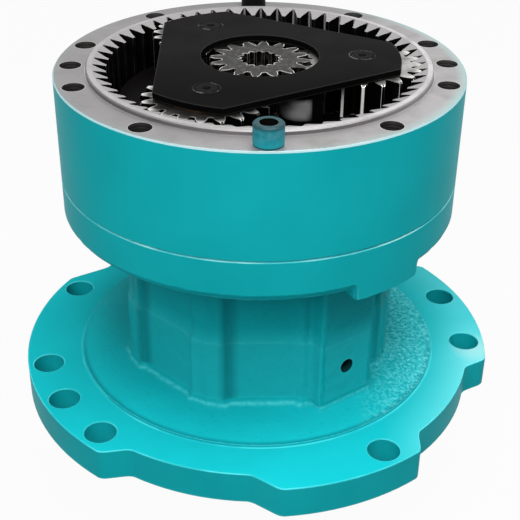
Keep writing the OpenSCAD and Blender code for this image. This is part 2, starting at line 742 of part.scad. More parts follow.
module pinion_shaft() {
    tip_r = pinion_module * (pinion_teeth / 2 + 1 + pinion_shift);
    root_r = pinion_module * (pinion_teeth / 2 - 1.25 + pinion_shift);
    spline_tip_r = shaft_spline_module * (shaft_spline_teeth + 1) / 2;
    spline_root_r = shaft_spline_module * (shaft_spline_teeth - 1.2) / 2;
    mid_r = lower_seat_r - shaft_relief;
    neck_r = journal_r - 4;
    journal_z = seal_flange_z - shaft_relief;
    color("lightsteelblue") difference() {
        union() {
            intersection() {
                translate([0, 0, pinion_z]) linear_extrude(pinion_width) polygon(gear_outline(pinion_teeth,
                    pinion_module, pinion_pressure_angle, root_r, tip_r, tooth_thinning, pinion_shift));
                chamfered_disc(tip_r + 0.1, pinion_z, pinion_top_z, 3, 3);
            }
            rotate_extrude() polygon([[0, pinion_top_z - cut], [neck_r, pinion_top_z - cut],
                [neck_r, journal_z], [journal_r - journal_chamfer, journal_z],
                [journal_r, journal_z + journal_chamfer], [journal_r, lower_z], [lower_seat_r, lower_z],
                [lower_seat_r, lower_top_z + 1], [mid_r, lower_top_z + 1 + shaft_relief],
                [mid_r, upper_z - 6], [upper_seat_r, upper_z - 2], [upper_seat_r, upper_top_z],
                [thread_r, upper_top_z], [thread_r, hub_z - 1], [spline_root_r, hub_z - 1],
                [spline_root_r, shaft_end_z], [0, shaft_end_z]]);
            intersection() {
                translate([0, 0, hub_z - 2]) linear_extrude(shaft_end_z - hub_z + 2)
                    polygon(gear_outline(shaft_spline_teeth, shaft_spline_module, spline_pressure_angle,
                        spline_root_r, spline_tip_r, 0.1, 0, 2));
                chamfered_disc(spline_tip_r + 0.1, hub_z - 3, shaft_end_z, 0, 1.5);
            }
        }
        translate([upper_seat_r - keyway_depth, -keyway_w / 2, upper_top_z - 2])
            cube([2 * keyway_depth, keyway_w, hub_z - upper_top_z + 2]);
        translate([0, 0, pinion_z - cut]) cylinder(r = centre_drill_r, h = centre_drill_h + cut);
        translate([0, 0, pinion_z - cut])
            cylinder(r1 = 2 * centre_drill_r, r2 = centre_drill_r - cut, h = centre_drill_r + cut);
        around(retainer_screw_angles, retainer_screw_circle_r)
            disc(retainer_screw_r, shaft_end_z - retainer_screw_l - 4, shaft_end_z + cut);
    }
}

module lower_bearing_cone() {
    color("lightgray") at_lower_bearing() bearing_cone(lower_bearing);
}

module lower_bearing_rollers() {
    color("white") at_lower_bearing() tapered_rollers(lower_bearing);
}

module lower_bearing_cage() {
    color("goldenrod") at_lower_bearing() bearing_cage(lower_bearing);
}

module upper_bearing_cone() {
    color("lightgray") at_upper_bearing() bearing_cone(upper_bearing);
}

module upper_bearing_rollers() {
    color("white") at_upper_bearing() tapered_rollers(upper_bearing);
}

module upper_bearing_cage() {
    color("goldenrod") at_upper_bearing() bearing_cage(upper_bearing);
}

// Washer with a tongue in the shaft's keyway and tabs for the nut's slots
module lock_washer() {
    color("silver") {
        tube(thread_r + 0.3, nut_r - lock_tab_l + 1, upper_top_z, nut_z);
        translate([thread_r - keyway_depth + 1.5, -keyway_w / 2 + 0.2, upper_top_z])
            cube([keyway_depth, keyway_w - 0.4, lock_washer_t]);
        around([for (i = [0:11]) 15 + 30 * i], nut_r - lock_tab_l)
            translate([0, -lock_tab_w / 2, upper_top_z]) cube([lock_tab_l, lock_tab_w, lock_washer_t]);
    }
}

module lock_nut() {
    color("dimgray") difference() {
        chamfered_disc(nut_r, nut_z, hub_z, 1, 1);
        disc(thread_r + screw_thread_gap, nut_z - cut, hub_z + cut);
        around([0, 90, 180, 270], nut_r - nut_slot_depth) translate([0, -nut_slot_w / 2, nut_z - cut])
            cube([nut_slot_depth + cut, nut_slot_w, hub_z - nut_z + 2 * cut]);
    }
}

// Cage-type carrier of the second stage: hub, disc, three posts and upper plate in one casting
module carrier_2() {
    spline_tip_r = shaft_spline_module * (shaft_spline_teeth + 1) / 2 + 0.3;
    spline_root_r = shaft_spline_module * (shaft_spline_teeth - 1) / 2;
    lock_z = (disc2_z + disc2_top_z) / 2;
    color("slategray") difference() {
        union() {
            chamfered_disc(hub_r, hub_z, disc2_z + cut, 1.5, 0);
            chamfered_disc(carrier2_r, disc2_z, disc2_top_z, 3, 1.5);
            chamfered_disc(carrier2_r, plate2_z, plate2_top_z, 1.5, 1.5);
            around([for (a = pin2_angles) a + 60], post2_circle_r)
                disc(post2_r, disc2_top_z - cut, plate2_z + cut);
        }
        translate([0, 0, hub_z - cut]) linear_extrude(shaft_end_z - hub_z + 2 * cut)
            polygon(gear_outline(shaft_spline_teeth, shaft_spline_module, spline_pressure_angle,
                spline_root_r, spline_tip_r, -0.1, 0, 2));
        disc(retainer_r + seat_gap, shaft_end_z, disc2_top_z + cut);
        disc(plate2_hole_r, plate2_z - cut, plate2_top_z + cut);
        around(pin2_angles, orbit2_r) disc(pin2_r + seat_gap, disc2_z - cut, plate2_top_z + cut);
        for (a = pin2_angles) rotate(a) translate([orbit2_r, 0, lock_z]) rotate([0, 90, 0])
            cylinder(r = lock_pin_r + seat_gap, h = carrier2_r, $fn = 32);
    }
}

// Planet pins of one stage, with a cross hole for the lock pin
module planet_pin(r, z_low, z_high, lock_z) {
    difference() {
        chamfered_disc(r, z_low, z_high, 1, 1);
        translate([-r / 2, 0, lock_z]) rotate([0, 90, 0])
            cylinder(r = lock_pin_r + seat_gap, h = 2 * r, $fn = 32);
    }
}

module lock_pin(from_r, to_r, z) {
    translate([from_r, 0, z]) rotate([0, 90, 0]) cylinder(r = lock_pin_r, h = to_r - from_r, $fn = 32);
}

module planet_pins_2() {
    color("silver") around(pin2_angles, orbit2_r)
        planet_pin(pin2_r, disc2_z + 1.5, plate2_top_z - 1, (disc2_z + disc2_top_z) / 2);
}

module pin_locks_2() {
    color("gray") for (a = pin2_angles) rotate(a)
        lock_pin(orbit2_r - pin2_r / 2 + 1, carrier2_r - 4, (disc2_z + disc2_top_z) / 2);
}

// Bronze washers under and over each planet
module thrust_washers(angles, orbit, pin_r, low_z, high_z) {
    color("peru") around(angles, orbit) {
        tube(pin_r + 0.2, pin_r + washer_w, low_z, low_z + washer_t);
        tube(pin_r + 0.2, pin_r + washer_w, high_z - washer_t, high_z);
    }
}

module thrust_washers_2() {
    thrust_washers(pin2_angles, orbit2_r, pin2_r, disc2_top_z, plate2_z);
}

module retainer_plate() {
    color("gray") difference() {
        chamfered_disc(retainer_r, shaft_end_z, shaft_end_z + retainer_t, 0.5, 1);
        disc(retainer_bore_r, shaft_end_z - cut, shaft_end_z + retainer_t + cut);
        around(retainer_screw_angles, retainer_screw_circle_r) {
            disc(retainer_screw_r + screw_hole_gap, shaft_end_z - cut, shaft_end_z + retainer_t + cut);
            translate([0, 0, shaft_end_z + 1]) cylinder(r1 = retainer_screw_r + screw_hole_gap,
                r2 = 2 * retainer_screw_r + screw_hole_gap, h = retainer_t);
        }
    }
}

module retainer_screws() {
    color("dimgray") around(retainer_screw_angles, retainer_screw_circle_r) difference() {
        union() {
            disc(retainer_screw_r - screw_thread_gap, shaft_end_z - retainer_screw_l,
                shaft_end_z + retainer_t - 0.3);
            translate([0, 0, shaft_end_z + 1.1]) cylinder(r1 = retainer_screw_r,
                r2 = 1.7 * retainer_screw_r + 0.4, h = retainer_t - 1.4);
        }
        translate([0, 0, shaft_end_z + retainer_t - 3]) cylinder(r = 3.4, h = 4, $fn = 6);
    }
}

// Bronze ring between the two carriers
module thrust_ring() {
    color("peru") tube(plate2_hole_r + thrust_ring_inset, plate2_hole_r + thrust_ring_inset + thrust_ring_w,
        plate2_top_z, plate2_top_z + thrust_ring_t);
}

// Planet gear of one stage, at the place of the pin whose angle is given
module planet_gear(angle, orbit, teeth, pin_r, z_low, width) {
    bore_r = pin_r + running_gap + needle_d + 2 * seat_gap;
    rotate(angle) translate([orbit, 0, 0]) rotate(-angle) difference() {
        spur_gear(teeth, planet_turn(angle, teeth), z_low, z_low + width);
        disc(bore_r, z_low - cut, z_low + width + cut);
    }
}

module needle_rollers(angle, orbit, pin_r, z_low, width) {
    circle_r = pin_r + running_gap + needle_d / 2;
    count = floor(2 * PI * circle_r / (needle_d + 0.1));
    color("white") rotate(angle) translate([orbit, 0, 0])
        around([for (i = [0:count - 1]) 360 * i / count], circle_r)
            translate([0, 0, z_low + 1]) cylinder(d = needle_d, h = width - 2, $fn = 24);
}

module stage2_gear(i) {
    color("silver") planet_gear(pin2_angles[i], orbit2_r, planet2_teeth, pin2_r, planet2_z, planet2_width);
}

module stage2_needles(i) {
    needle_rollers(pin2_angles[i], orbit2_r, pin2_r, planet2_z, planet2_width);
}

// Carrier of the first stage: a disc on the second sun's teeth, with three posts for the plate
module carrier_1() {
    lock_z = disc1_z + disc1_t / 2;
    color("slategray") difference() {
        union() {
            chamfered_disc(carrier1_r, disc1_z, disc1_top_z, 1.5, 1.5);
            around([for (a = pin1_angles) a + 60], post1_circle_r) disc(post1_r, disc1_top_z - cut, plate_z);
        }
        translate([0, 0, disc1_z - cut]) rotate(sun2_turn) linear_extrude(disc1_t + 2 * cut)
            gear_2d(sun2_teeth, -tooth_thinning / 2, sun2_seat[0], sun2_seat[1]);
        disc(sun2_tip_r + carrier1_groove, sun2_top_z, sun2_top_z + snap_ring_t + 0.1);
        around(pin1_angles, orbit1_r) disc(pin1_r + seat_gap, disc1_z - cut, disc1_top_z + cut);
        for (a = pin1_angles) rotate(a) translate([orbit1_r, 0, lock_z]) rotate([0, 90, 0])
            cylinder(r = lock_pin_r + seat_gap, h = carrier1_r, $fn = 32);
    }
}

// Three-cornered plate that ties the posts and the pins of the first stage
module carrier_plate_1() {
    color([0.13, 0.13, 0.13]) difference() {
        translate([0, 0, plate_z]) linear_extrude(plate_t) intersection() {
            circle(r = plate_r);
            rotate(carrier1_turn) circle(r = 2 * plate_apothem, $fn = 3);
        }
        disc(plate_hole_r, plate_z - cut, plate_top_z + cut);
        around(pin1_angles, orbit1_r) disc(stake_r + seat_gap, plate_z - cut, plate_top_z + cut);
    }
}

module planet_pins_1() {
    color("gray") around(pin1_angles, orbit1_r) difference() {
        union() {
            planet_pin(pin1_r, disc1_z + 1, plate_z, disc1_z + disc1_t / 2);
            chamfered_disc(stake_r, plate_z - 2, plate_top_z + stake_rise, 0, stake_rise);
        }
        disc(pin_centre_r, plate_top_z - pin_centre_h, plate_top_z + cut);
        translate([0, 0, plate_top_z - 0.7]) cylinder(r1 = pin_centre_r, r2 = pin_centre_r + 1.4, h = 1.4);
    }
}

module pin_locks_1() {
    color("gray") for (a = pin1_angles) rotate(a)
        lock_pin(orbit1_r - pin1_r / 2 + 1, carrier1_r - 4, disc1_z + disc1_t / 2);
}

module thrust_washers_1() {
    thrust_washers(pin1_angles, orbit1_r, pin1_r, disc1_top_z, plate_z);
}

// Second sun: its teeth mesh with the planets and, at the top, fill the first carrier's bore
module sun_gear_2() {
    color("silver") difference() {
        spur_gear(sun2_teeth, sun2_turn, planet2_z, sun2_top_z);
        disc(sun2_bore_r, planet2_z - cut, sun2_top_z + cut);
        tube(sun2_tip_r - sun2_groove, sun2_tip_r + cut, disc1_z - snap_ring_t - 0.1, disc1_z);
    }
}

// One ring lies under the disc round the sun's teeth, and one in the disc's bore above them
module snap_ring(r_in, r_out, z_low) {
    difference() {
        tube(r_in, r_out, z_low, z_low + snap_ring_t);
        translate([0, -snap_ring_opening / 2, z_low - cut])
            cube([r_out + cut, snap_ring_opening, snap_ring_t + 2 * cut]);
    }
}

module sun_snap_rings() {
    color("gray") {
        snap_ring(sun2_tip_r - sun2_groove + seat_gap, sun2_tip_r - sun2_groove + snap_ring_w,
            disc1_z - snap_ring_t);
        snap_ring(sun2_tip_r + carrier1_groove - snap_ring_w - 3, sun2_tip_r + carrier1_groove - seat_gap,
            sun2_top_z);
    }
}

// Flanged bronze pad on top of the second sun, which the first sun rests on
module thrust_button() {
    color("peru") {
        disc(sun2_bore_r - seat_gap, sun2_top_z - button_depth, sun2_top_z + cut);
        disc(sun1_hub_r + 2, sun2_top_z, sun2_top_z + button_t);
    }
}

module stage1_gear(i) {
    color("silver") planet_gear(pin1_angles[i], orbit1_r, planet1_teeth, pin1_r, planet1_z, planet1_width);
}

module stage1_needles(i) {
    needle_rollers(pin1_angles[i], orbit1_r, pin1_r, planet1_z, planet1_width);
}

// First sun: driven by the motor's splined shaft, and free between the three planets
module sun_gear_1() {
    z_low = sun2_top_z + button_t + end_gap;
    z_high = motor_face_z + sun1_rise;
    minor_r = spline_module * (spline_teeth - 1) / 2;
    major_r = spline_module * (spline_teeth + 1.35) / 2;
    color("silver") difference() {
        union() {
            spur_gear(sun1_teeth, sun1_turn, planet1_z, z_high);
            disc(sun1_hub_r, z_low, planet1_z + cut);
        }
        translate([0, 0, z_low - cut]) rotate(90) linear_extrude(z_high - z_low + 2 * cut)
            polygon(gear_outline(spline_teeth, spline_module, spline_pressure_angle, minor_r, major_r,
                -0.05, 0, 3));
    }
}

lower_casing();
ring_gear();
joint_o_ring();
joint_dowels();
motor_dowel_sleeves();
lower_bearing_cup();
upper_bearing_cup();
seal_carrier();
seal_carrier_o_ring();
seal_carrier_screws();
oil_seal();
pinion_shaft();
lower_bearing_cone();
lower_bearing_rollers();
lower_bearing_cage();
upper_bearing_cone();
upper_bearing_rollers();
upper_bearing_cage();
lock_washer();
lock_nut();
carrier_2();
planet_pins_2();
pin_locks_2();
thrust_washers_2();
retainer_plate();
retainer_screws();
thrust_ring();
stage2_gear(0);  // planet_gear_2a
stage2_gear(1);  // planet_gear_2b
stage2_gear(2);  // planet_gear_2c
stage2_needles(0);  // needle_rollers_2a
stage2_needles(1);  // needle_rollers_2b
stage2_needles(2);  // needle_rollers_2c
carrier_1();
carrier_plate_1();
planet_pins_1();
pin_locks_1();
thrust_washers_1();
sun_gear_2();
sun_snap_rings();
thrust_button();
stage1_gear(0);  // planet_gear_1a
stage1_gear(1);  // planet_gear_1b
stage1_gear(2);  // planet_gear_1c
stage1_needles(0);  // needle_rollers_1a
stage1_needles(1);  // needle_rollers_1b
stage1_needles(2);  // needle_rollers_1c
sun_gear_1();
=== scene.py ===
import math

import bpy
from mathutils import Matrix, Vector


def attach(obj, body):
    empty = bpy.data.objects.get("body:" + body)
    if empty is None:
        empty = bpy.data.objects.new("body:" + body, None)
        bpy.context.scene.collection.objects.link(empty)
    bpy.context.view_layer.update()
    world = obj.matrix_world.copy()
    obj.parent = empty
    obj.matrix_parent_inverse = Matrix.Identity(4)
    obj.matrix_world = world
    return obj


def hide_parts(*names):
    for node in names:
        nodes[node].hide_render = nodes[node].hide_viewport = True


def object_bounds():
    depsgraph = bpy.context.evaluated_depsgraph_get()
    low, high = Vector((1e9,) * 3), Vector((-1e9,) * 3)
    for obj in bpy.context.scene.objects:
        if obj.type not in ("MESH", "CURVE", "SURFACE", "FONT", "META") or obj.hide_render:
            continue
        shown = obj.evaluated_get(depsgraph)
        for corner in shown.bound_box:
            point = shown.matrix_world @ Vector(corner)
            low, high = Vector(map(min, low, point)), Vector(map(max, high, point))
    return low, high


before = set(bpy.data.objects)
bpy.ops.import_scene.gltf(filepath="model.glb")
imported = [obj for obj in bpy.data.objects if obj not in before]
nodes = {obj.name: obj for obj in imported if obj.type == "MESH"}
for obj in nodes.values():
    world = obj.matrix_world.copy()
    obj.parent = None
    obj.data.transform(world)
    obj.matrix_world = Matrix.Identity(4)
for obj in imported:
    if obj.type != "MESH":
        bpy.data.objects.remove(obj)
cad_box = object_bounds()


# Camera
# A lens of about 74 mm on a 36 mm sensor, held a metre in front of the gearbox. It looks down
# on it by 31 degrees, as the photographer did, and hangs over to the left by less than a degree.
lens_mm = 74.445
view_target = Vector((0.0020, 0, 0.1066))
view_distance = 0.9487
look_down = math.radians(30.93)
turn = math.radians(-2.6)
lean = math.radians(0.70)
camera = bpy.data.objects.new("camera", bpy.data.cameras.new("camera"))
camera.data.lens = lens_mm
camera.data.sensor_width = 36
aim = Matrix.Rotation(turn, 4, "Z") @ Matrix.Translation(view_target)
tilt = Matrix.Rotation(math.pi / 2 - look_down, 4, "X") @ Matrix.Rotation(lean, 4, "Z")
camera.matrix_world = aim @ tilt @ Matrix.Translation((0, 0, view_distance))
bpy.context.scene.collection.objects.link(camera)
bpy.context.scene.camera = camera
bpy.context.scene.view_settings.view_transform = "Standard"


# Floor and light
# A white workshop floor under the pinion's end, and soft white light: a bright room all round,
# a wide lamp overhead, and one at the front left that leaves the ribs' right sides in shade.
def linear(hex_colour):
    """A colour written as #RRGGBB, as the linear values that shaders and lamps take."""
    parts = [int(hex_colour[i : i + 2], 16) / 255 for i in (1, 3, 5)]
    return tuple(c / 12.92 if c <= 0.04045 else ((c + 0.055) / 1.055) ** 2.4 for c in parts) + (1,)


def add(tree, kind, inputs=None, **settings):
    """Adds a shader node. An input is given a value, or the node or socket that feeds it."""
    made = tree.nodes.new("ShaderNode" + kind)
    for name, value in settings.items():
        setattr(made, name, value)
    for socket, value in (inputs or {}).items():
        if isinstance(value, bpy.types.Node):
            value = next(output for output in value.outputs if output.enabled)
        if isinstance(value, bpy.types.NodeSocket):
            tree.links.new(value, made.inputs[socket])
        else:
            made.inputs[socket].default_value = value
    return made


def empty_material(name):
    material = bpy.data.materials.new(name)
    material.use_nodes = True
    material.node_tree.nodes.clear()
    return material, material.node_tree


# Grey where its light falls back on the gearbox, and nearly plain white to the eye and in mirror
# images, as the ground is in a bright photograph
floor_size = 6
floor_lift = 0.96
bpy.ops.mesh.primitive_plane_add(size=floor_size, location=(0, 0, cad_box[0].z))
floor = bpy.context.object
floor.name = "floor"
material, tree = empty_material("white_floor_paint")
seen = add(tree, "LightPath")
shaded = add(tree, "BsdfDiffuse", {"Color": linear("#8A8A8A")})
plain = add(tree, "Emission", {"Color": (1, 1, 1, 1), "Strength": 1.0})
lifted = add(tree, "MixShader", {0: floor_lift, 1: shaded, 2: plain})
by_sight = add(tree, "Math", {0: seen.outputs["Is Camera Ray"], 1: seen.outputs["Is Glossy Ray"]},
               operation="MAXIMUM")
floor_look = add(tree, "MixShader", {0: by_sight, 1: shaded, 2: lifted})
add(tree, "OutputMaterial", {"Surface": floor_look})
floor.data.materials.append(material)

# The room sheds only a dim light, and is plain white where it is seen or mirrored
world = bpy.data.worlds.new("bright_room")
world.use_nodes = True
tree = world.node_tree
tree.nodes.clear()
seen = add(tree, "LightPath")
mirrored = add(tree, "Math", {0: seen.outputs["Is Camera Ray"], 1: seen.outputs["Is Glossy Ray"]},
               operation="MAXIMUM")
mirrored = add(tree, "Math", {0: mirrored, 1: seen.outputs["Is Transmission Ray"]}, operation="MAXIMUM")
room_light = 0.10
strength = add(tree, "MapRange", {"Value": mirrored, "To Min": room_light, "To Max": 1.0})
room = add(tree, "Background", {"Color": (1, 1, 1, 1), "Strength": strength})
add(tree, "OutputWorld", {"Surface": room})
bpy.context.scene.world = world

# Each lamp: its name, place, width and power. Both point at the gearbox's middle
lamps = [("overhead_lamp", (0.15, -0.30, 1.5), 1.4, 42),
         ("front_left_lamp", (-0.7, -1.4, 1.25), 0.9, 14)]
middle = Vector((0, 0, 0.15))
for name, place, width, power in lamps:
    lamp = bpy.data.objects.new(name, bpy.data.lights.new(name, "AREA"))
    lamp.data.size = width
    lamp.data.energy = power
    lamp.location = place
    lamp.rotation_euler = (middle - lamp.location).to_track_quat("-Z", "Y").to_euler()
    bpy.context.scene.collection.objects.link(lamp)


# Lower casing
# One iron casting: the base flange, the necked body with its eight ribs and the drum's lower
# part. Neck and deck keep the skin of the sand mould, flange and drum are turned, and turquoise
# enamel covers all of it. The turned parts are the CAD node's own, and the skin is modelled here.
def select_only(piece):
    bpy.ops.object.select_all(action="DESELECT")
    piece.select_set(True)
    bpy.context.view_layer.objects.active = piece


def settle(piece):
    """Puts a piece's place into its mesh, so that its object sits at the origin."""
    select_only(piece)
    bpy.ops.object.transform_apply(location=True, rotation=True, scale=True)


def prism(radius, low, high, sides=64, angle=0):
    bpy.ops.mesh.primitive_cylinder_add(vertices=sides, radius=radius, depth=high - low,
                                        location=(0, 0, (low + high) / 2), rotation=(0, 0, angle))
    settle(bpy.context.object)
    return bpy.context.object


def block(face, width, low, high, angle):
    """A block from the axis out to a face, turned to that angle."""
    bpy.ops.mesh.primitive_cube_add(size=1, location=(face / 2, 0, (low + high) / 2),
                                    scale=(face, width, high - low))
    piece = bpy.context.object
    settle(piece)
    piece.rotation_euler.z = angle
    settle(piece)
    return piece


def turned(name, profile, steps):
    """A closed profile of (radius, height) points, spun about the Z axis as on a lathe."""
    mesh = bpy.data.meshes.new(name)
    count = len(profile)
    mesh.from_pydata([(r, 0, z) for r, z in profile], [(i, (i + 1) % count) for i in range(count)], [])
    piece = bpy.data.objects.new(name, mesh)
    bpy.context.scene.collection.objects.link(piece)
    select_only(piece)
    bpy.ops.object.mode_set(mode="EDIT")
    bpy.ops.mesh.select_all(action="SELECT")
    bpy.ops.mesh.spin(steps=steps, angle=2 * math.pi, center=(0, 0, 0), axis=(0, 0, 1))
    bpy.ops.mesh.select_all(action="SELECT")
    bpy.ops.mesh.remove_doubles(threshold=1e-6)
    bpy.ops.mesh.normals_make_consistent(inside=False)
    bpy.ops.object.mode_set(mode="OBJECT")
    return piece


def apply_modifier(piece, kind, **settings):
    change = piece.modifiers.new(kind.lower(), kind)
    for name, value in settings.items():
        setattr(change, name, value)
    select_only(piece)
    bpy.ops.object.modifier_apply(modifier=change.name)


def carve(piece, other, operation):
    """Joins, cuts or trims a piece by another closed piece, which is used up."""
    apply_modifier(piece, "BOOLEAN", object=other, operation=operation, solver="MANIFOLD")
    bpy.data.objects.remove(other)


def merged_copy(node, name):
    """A copy of a CAD node as one closed mesh, with its flat faces joined up."""
    piece = bpy.data.objects.new(name, nodes[node].data.copy())
    bpy.context.scene.collection.objects.link(piece)
    select_only(piece)
    bpy.ops.object.mode_set(mode="EDIT")
    bpy.ops.mesh.select_all(action="SELECT")
    bpy.ops.mesh.remove_doubles(threshold=1e-6)
    bpy.ops.mesh.dissolve_limited(angle_limit=math.radians(0.5))
    bpy.ops.object.mode_set(mode="OBJECT")
    return piece


# Heights above the flange's lower face, and the radii of the turned step and drum
flange_top = 0.028
deck_z = 0.0353
step_r = 0.158
drum_r = 0.163
joint_z = 0.202

# The pattern for the sand mould, let into flange and drum. Each layer of the neck is (how far it
# stands out, its top): the body, the wider half under the parting line, and the bead that was
# dressed along its foot
foot_z = 0.022
neck_top = 0.175
neck_flat = 0.1085
rib_face = 0.1155
rib_width = 0.027
rib_count = 8
parting_z = 0.095
bead_z = 0.0370
boss_face = 0.127
boss_width = 0.054
boss_angle = math.radians(-57)
pattern = []
half_side = math.pi / rib_count
for stand, top in [(0, neck_top), (0.0015, parting_z), (0.0040, bead_z)]:
    neck_r = (neck_flat + stand) / math.cos(half_side)
    pattern.append(prism(neck_r, foot_z, top, rib_count, half_side))
    for i in range(rib_count):
        rib_angle = math.radians(360 / rib_count * (i + 0.5))
        pattern.append(block(rib_face + stand, rib_width + 2 * stand, foot_z, top, rib_angle))
pattern.append(block(boss_face, boss_width, foot_z, neck_top, boss_angle))
deck_edge = [(0, 0.020), (0.168, 0.020), (0.168, 0.0288), (0.110, deck_z), (0, deck_z)]
pattern.append(turned("deck_pattern", deck_edge, 192))
rim_r = 0.1645
rim_z = 0.163
rim_round = 0.018
rim_top = 0.215
rim_edge = []
for k in range(9):
    bend = math.radians(90 * k / 8)
    rim_edge.append((rim_r - rim_round * (1 - math.sin(bend)),
                     rim_z + rim_round * (1 - math.cos(bend))))
pattern.append(turned("rim_pattern", [(0, rim_z)] + rim_edge + [(rim_r, rim_top), (0, rim_top)], 192))

# The pad under the rim, flush with the drum: a ring, cut off at two planes through the axis
pad_z = 0.1565
pad_in = 0.090
pad_edge = [(pad_in, pad_z), (0.1600, pad_z), (rim_r, 0.161), (rim_r, 0.185), (pad_in, 0.185)]
pad = turned("pad_pattern", pad_edge, 192)
bpy.ops.object.mode_set(mode="EDIT")
for angle, side in [(math.radians(-65.5), 1), (math.radians(-44), -1)]:
    kept_side = (-side * math.sin(angle), side * math.cos(angle), 0)
    bpy.ops.mesh.select_all(action="SELECT")
    bpy.ops.mesh.bisect(plane_co=(0, 0, 0), plane_no=kept_side, use_fill=True, clear_inner=True)
bpy.ops.object.mode_set(mode="OBJECT")
pattern.append(pad)

# All of it as one skin with rounded corners, a little uneven as sand leaves it
for piece in pattern:
    piece.select_set(True)
bpy.context.view_layer.objects.active = pattern[0]
bpy.ops.object.join()
skin = bpy.context.object
skin.name = "skin"
apply_modifier(skin, "REMESH", mode="VOXEL", voxel_size=0.002, adaptivity=0)
apply_modifier(skin, "SMOOTH", factor=0.5, iterations=5)
sand = bpy.data.textures.new("sand", "CLOUDS")
sand.noise_scale = 0.009
sand.noise_depth = 1
apply_modifier(skin, "DISPLACE", texture=sand, texture_coords="LOCAL", strength=0.0007, mid_level=0.5)

# Turned off at the deck's step, the drum and the joint, and left open inside
joint_chamfer = 0.001
kept_edge = [(0.097, 0.025), (step_r, 0.025), (step_r, 0.060), (drum_r, 0.060),
             (drum_r, joint_z - joint_chamfer), (drum_r - joint_chamfer, joint_z),
             (0.1605, joint_z), (0.1605, 0.1775), (0.1580, 0.1697), (0.1498, 0.1666),
             (0.1068, 0.1646), (0.1065, 0.1625), (0.097, 0.1625)]
carve(skin, turned("lathe", kept_edge, 360), "INTERSECT")
casing = merged_copy("lower_casing", "painted_casing")

# The edges of the flange's outline and of its bolt holes are broken by 0.8 mm
flange_bevel = 0.0008
select_only(casing)
bpy.ops.object.mode_set(mode="EDIT")
bpy.ops.mesh.select_all(action="DESELECT")
bpy.ops.mesh.select_mode(type="EDGE")
bpy.ops.mesh.edges_select_sharp(sharpness=math.radians(60))
bpy.ops.object.mode_set(mode="OBJECT")
points = casing.data.vertices
for edge in casing.data.edges:
    ends = [points[i].co for i in edge.vertices]
    on_top = all(abs(end.z - flange_top) < 1e-5 and end.xy.length > 0.165 for end in ends)
    edge.select = edge.select and on_top
bpy.ops.object.mode_set(mode="EDIT")
bpy.ops.mesh.bevel(offset=flange_bevel, segments=2, affect="EDGES")
bpy.ops.object.mode_set(mode="OBJECT")

# The node's own neck, deck and rim give way to the skin, and the port is drilled again
cleared_edge = [(0.098, 0.026), (0.1572, 0.026), (0.1572, 0.0296), (0.175, 0.0296), (0.175, 0.21),
                (0.161, 0.21), (0.161, 0.1770), (0.1585, 0.1690), (0.1500, 0.1660),
                (0.1070, 0.1640), (0.1070, 0.1620), (0.098, 0.1620)]
carve(casing, turned("room_for_skin", cleared_edge, 360), "DIFFERENCE")
carve(casing, skin, "UNION")
port_r = 0.00625
port_z = 0.0687
port = prism(port_r, 0.080, 0.140, 48)
port.rotation_euler.y = math.pi / 2
settle(port)
port.rotation_euler.z = boss_angle
port.location.z = port_z
settle(port)
carve(casing, port, "DIFFERENCE")
select_only(casing)
bpy.ops.object.shade_smooth_by_angle(angle=math.radians(35))
apply_modifier(casing, "WEIGHTED_NORMAL", keep_sharp=True)

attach(casing, "casing")
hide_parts("lower_casing")


def overlap(tree, *masks):
    """Where every one of the masks is 1. A number among them is the most that it comes to."""
    whole = masks[0]
    for mask in masks[1:]:
        whole = add(tree, "Math", {0: whole, 1: mask}, operation="MULTIPLY")
    return whole


def at_corner(tree, reach, blunt, sharp, most=1, samples=8):
    """Rises to most where a corner lies within reach. A corner lets the rays that start inside it
    out again: blunt and sharp are the shares held back where the mask begins and is full."""
    held = add(tree, "AmbientOcclusion", {"Distance": reach}, samples=samples, inside=True,
               only_local=True)
    return add(tree, "MapRange", {"Value": held.outputs["AO"], "From Min": blunt, "From Max": sharp,
                                  "To Max": most})


# Turquoise machinery enamel, sprayed: a strong even colour with little gloss, clouded over 60 mm.
# Rough over the cast skin, smooth over turned metal, and pale along edges: rubbed, with a painted
# highlight.
def enamel(tree, place, cast_skin, pale_line, line_colour):
    """cast_skin is 1 where it lies over cast iron and 0 over turned metal, and the line mask is 1
    along a line of a paler colour: rubbed paint at worn edges, and a painted highlight on the bead."""
    drift = add(tree, "TexNoise", {"Vector": place, "Scale": 1 / 0.060, "Detail": 2})
    coat = add(tree, "Mix", {0: drift, 6: linear("#0DA2AA"), 7: linear("#14B4BC")}, data_type="RGBA")
    # Pits of the sand mould, some 2.6 mm apart, and the spray's own orange peel at 0.9 mm
    pits = add(tree, "TexNoise", {"Vector": place, "Scale": 1 / 0.0026, "Detail": 3, "Roughness": 0.6})
    peel = add(tree, "TexNoise", {"Vector": place, "Scale": 1 / 0.0009, "Detail": 1})
    dark_pits = add(tree, "MapRange", {"Value": pits, "From Min": 0.28, "From Max": 0.44,
                                       "To Min": 0.30, "To Max": 0})
    pitted = overlap(tree, dark_pits, cast_skin)
    coat = add(tree, "Mix", {0: pitted, 6: coat, 7: linear("#0B7F86")}, data_type="RGBA")
    wear_and_glint = at_corner(tree, 0.0016, 0.86, 0.62, 0.35)
    coat = add(tree, "Mix", {0: wear_and_glint, 6: coat, 7: linear("#7ADCE1")}, data_type="RGBA")
    coat = add(tree, "Mix", {0: pale_line, 6: coat, 7: linear(line_colour)}, data_type="RGBA")
    skin_bump = add(tree, "Bump", {"Strength": cast_skin, "Distance": 0.0004, "Height": pits})
    bump = add(tree, "Bump", {"Strength": 0.25, "Distance": 0.00006, "Height": peel,
                              "Normal": skin_bump})
    return add(tree, "BsdfPrincipled", {"Base Color": coat, "Roughness": 0.42, "IOR": 1.5,
                                        "Specular IOR Level": 0.03, "Normal": bump})


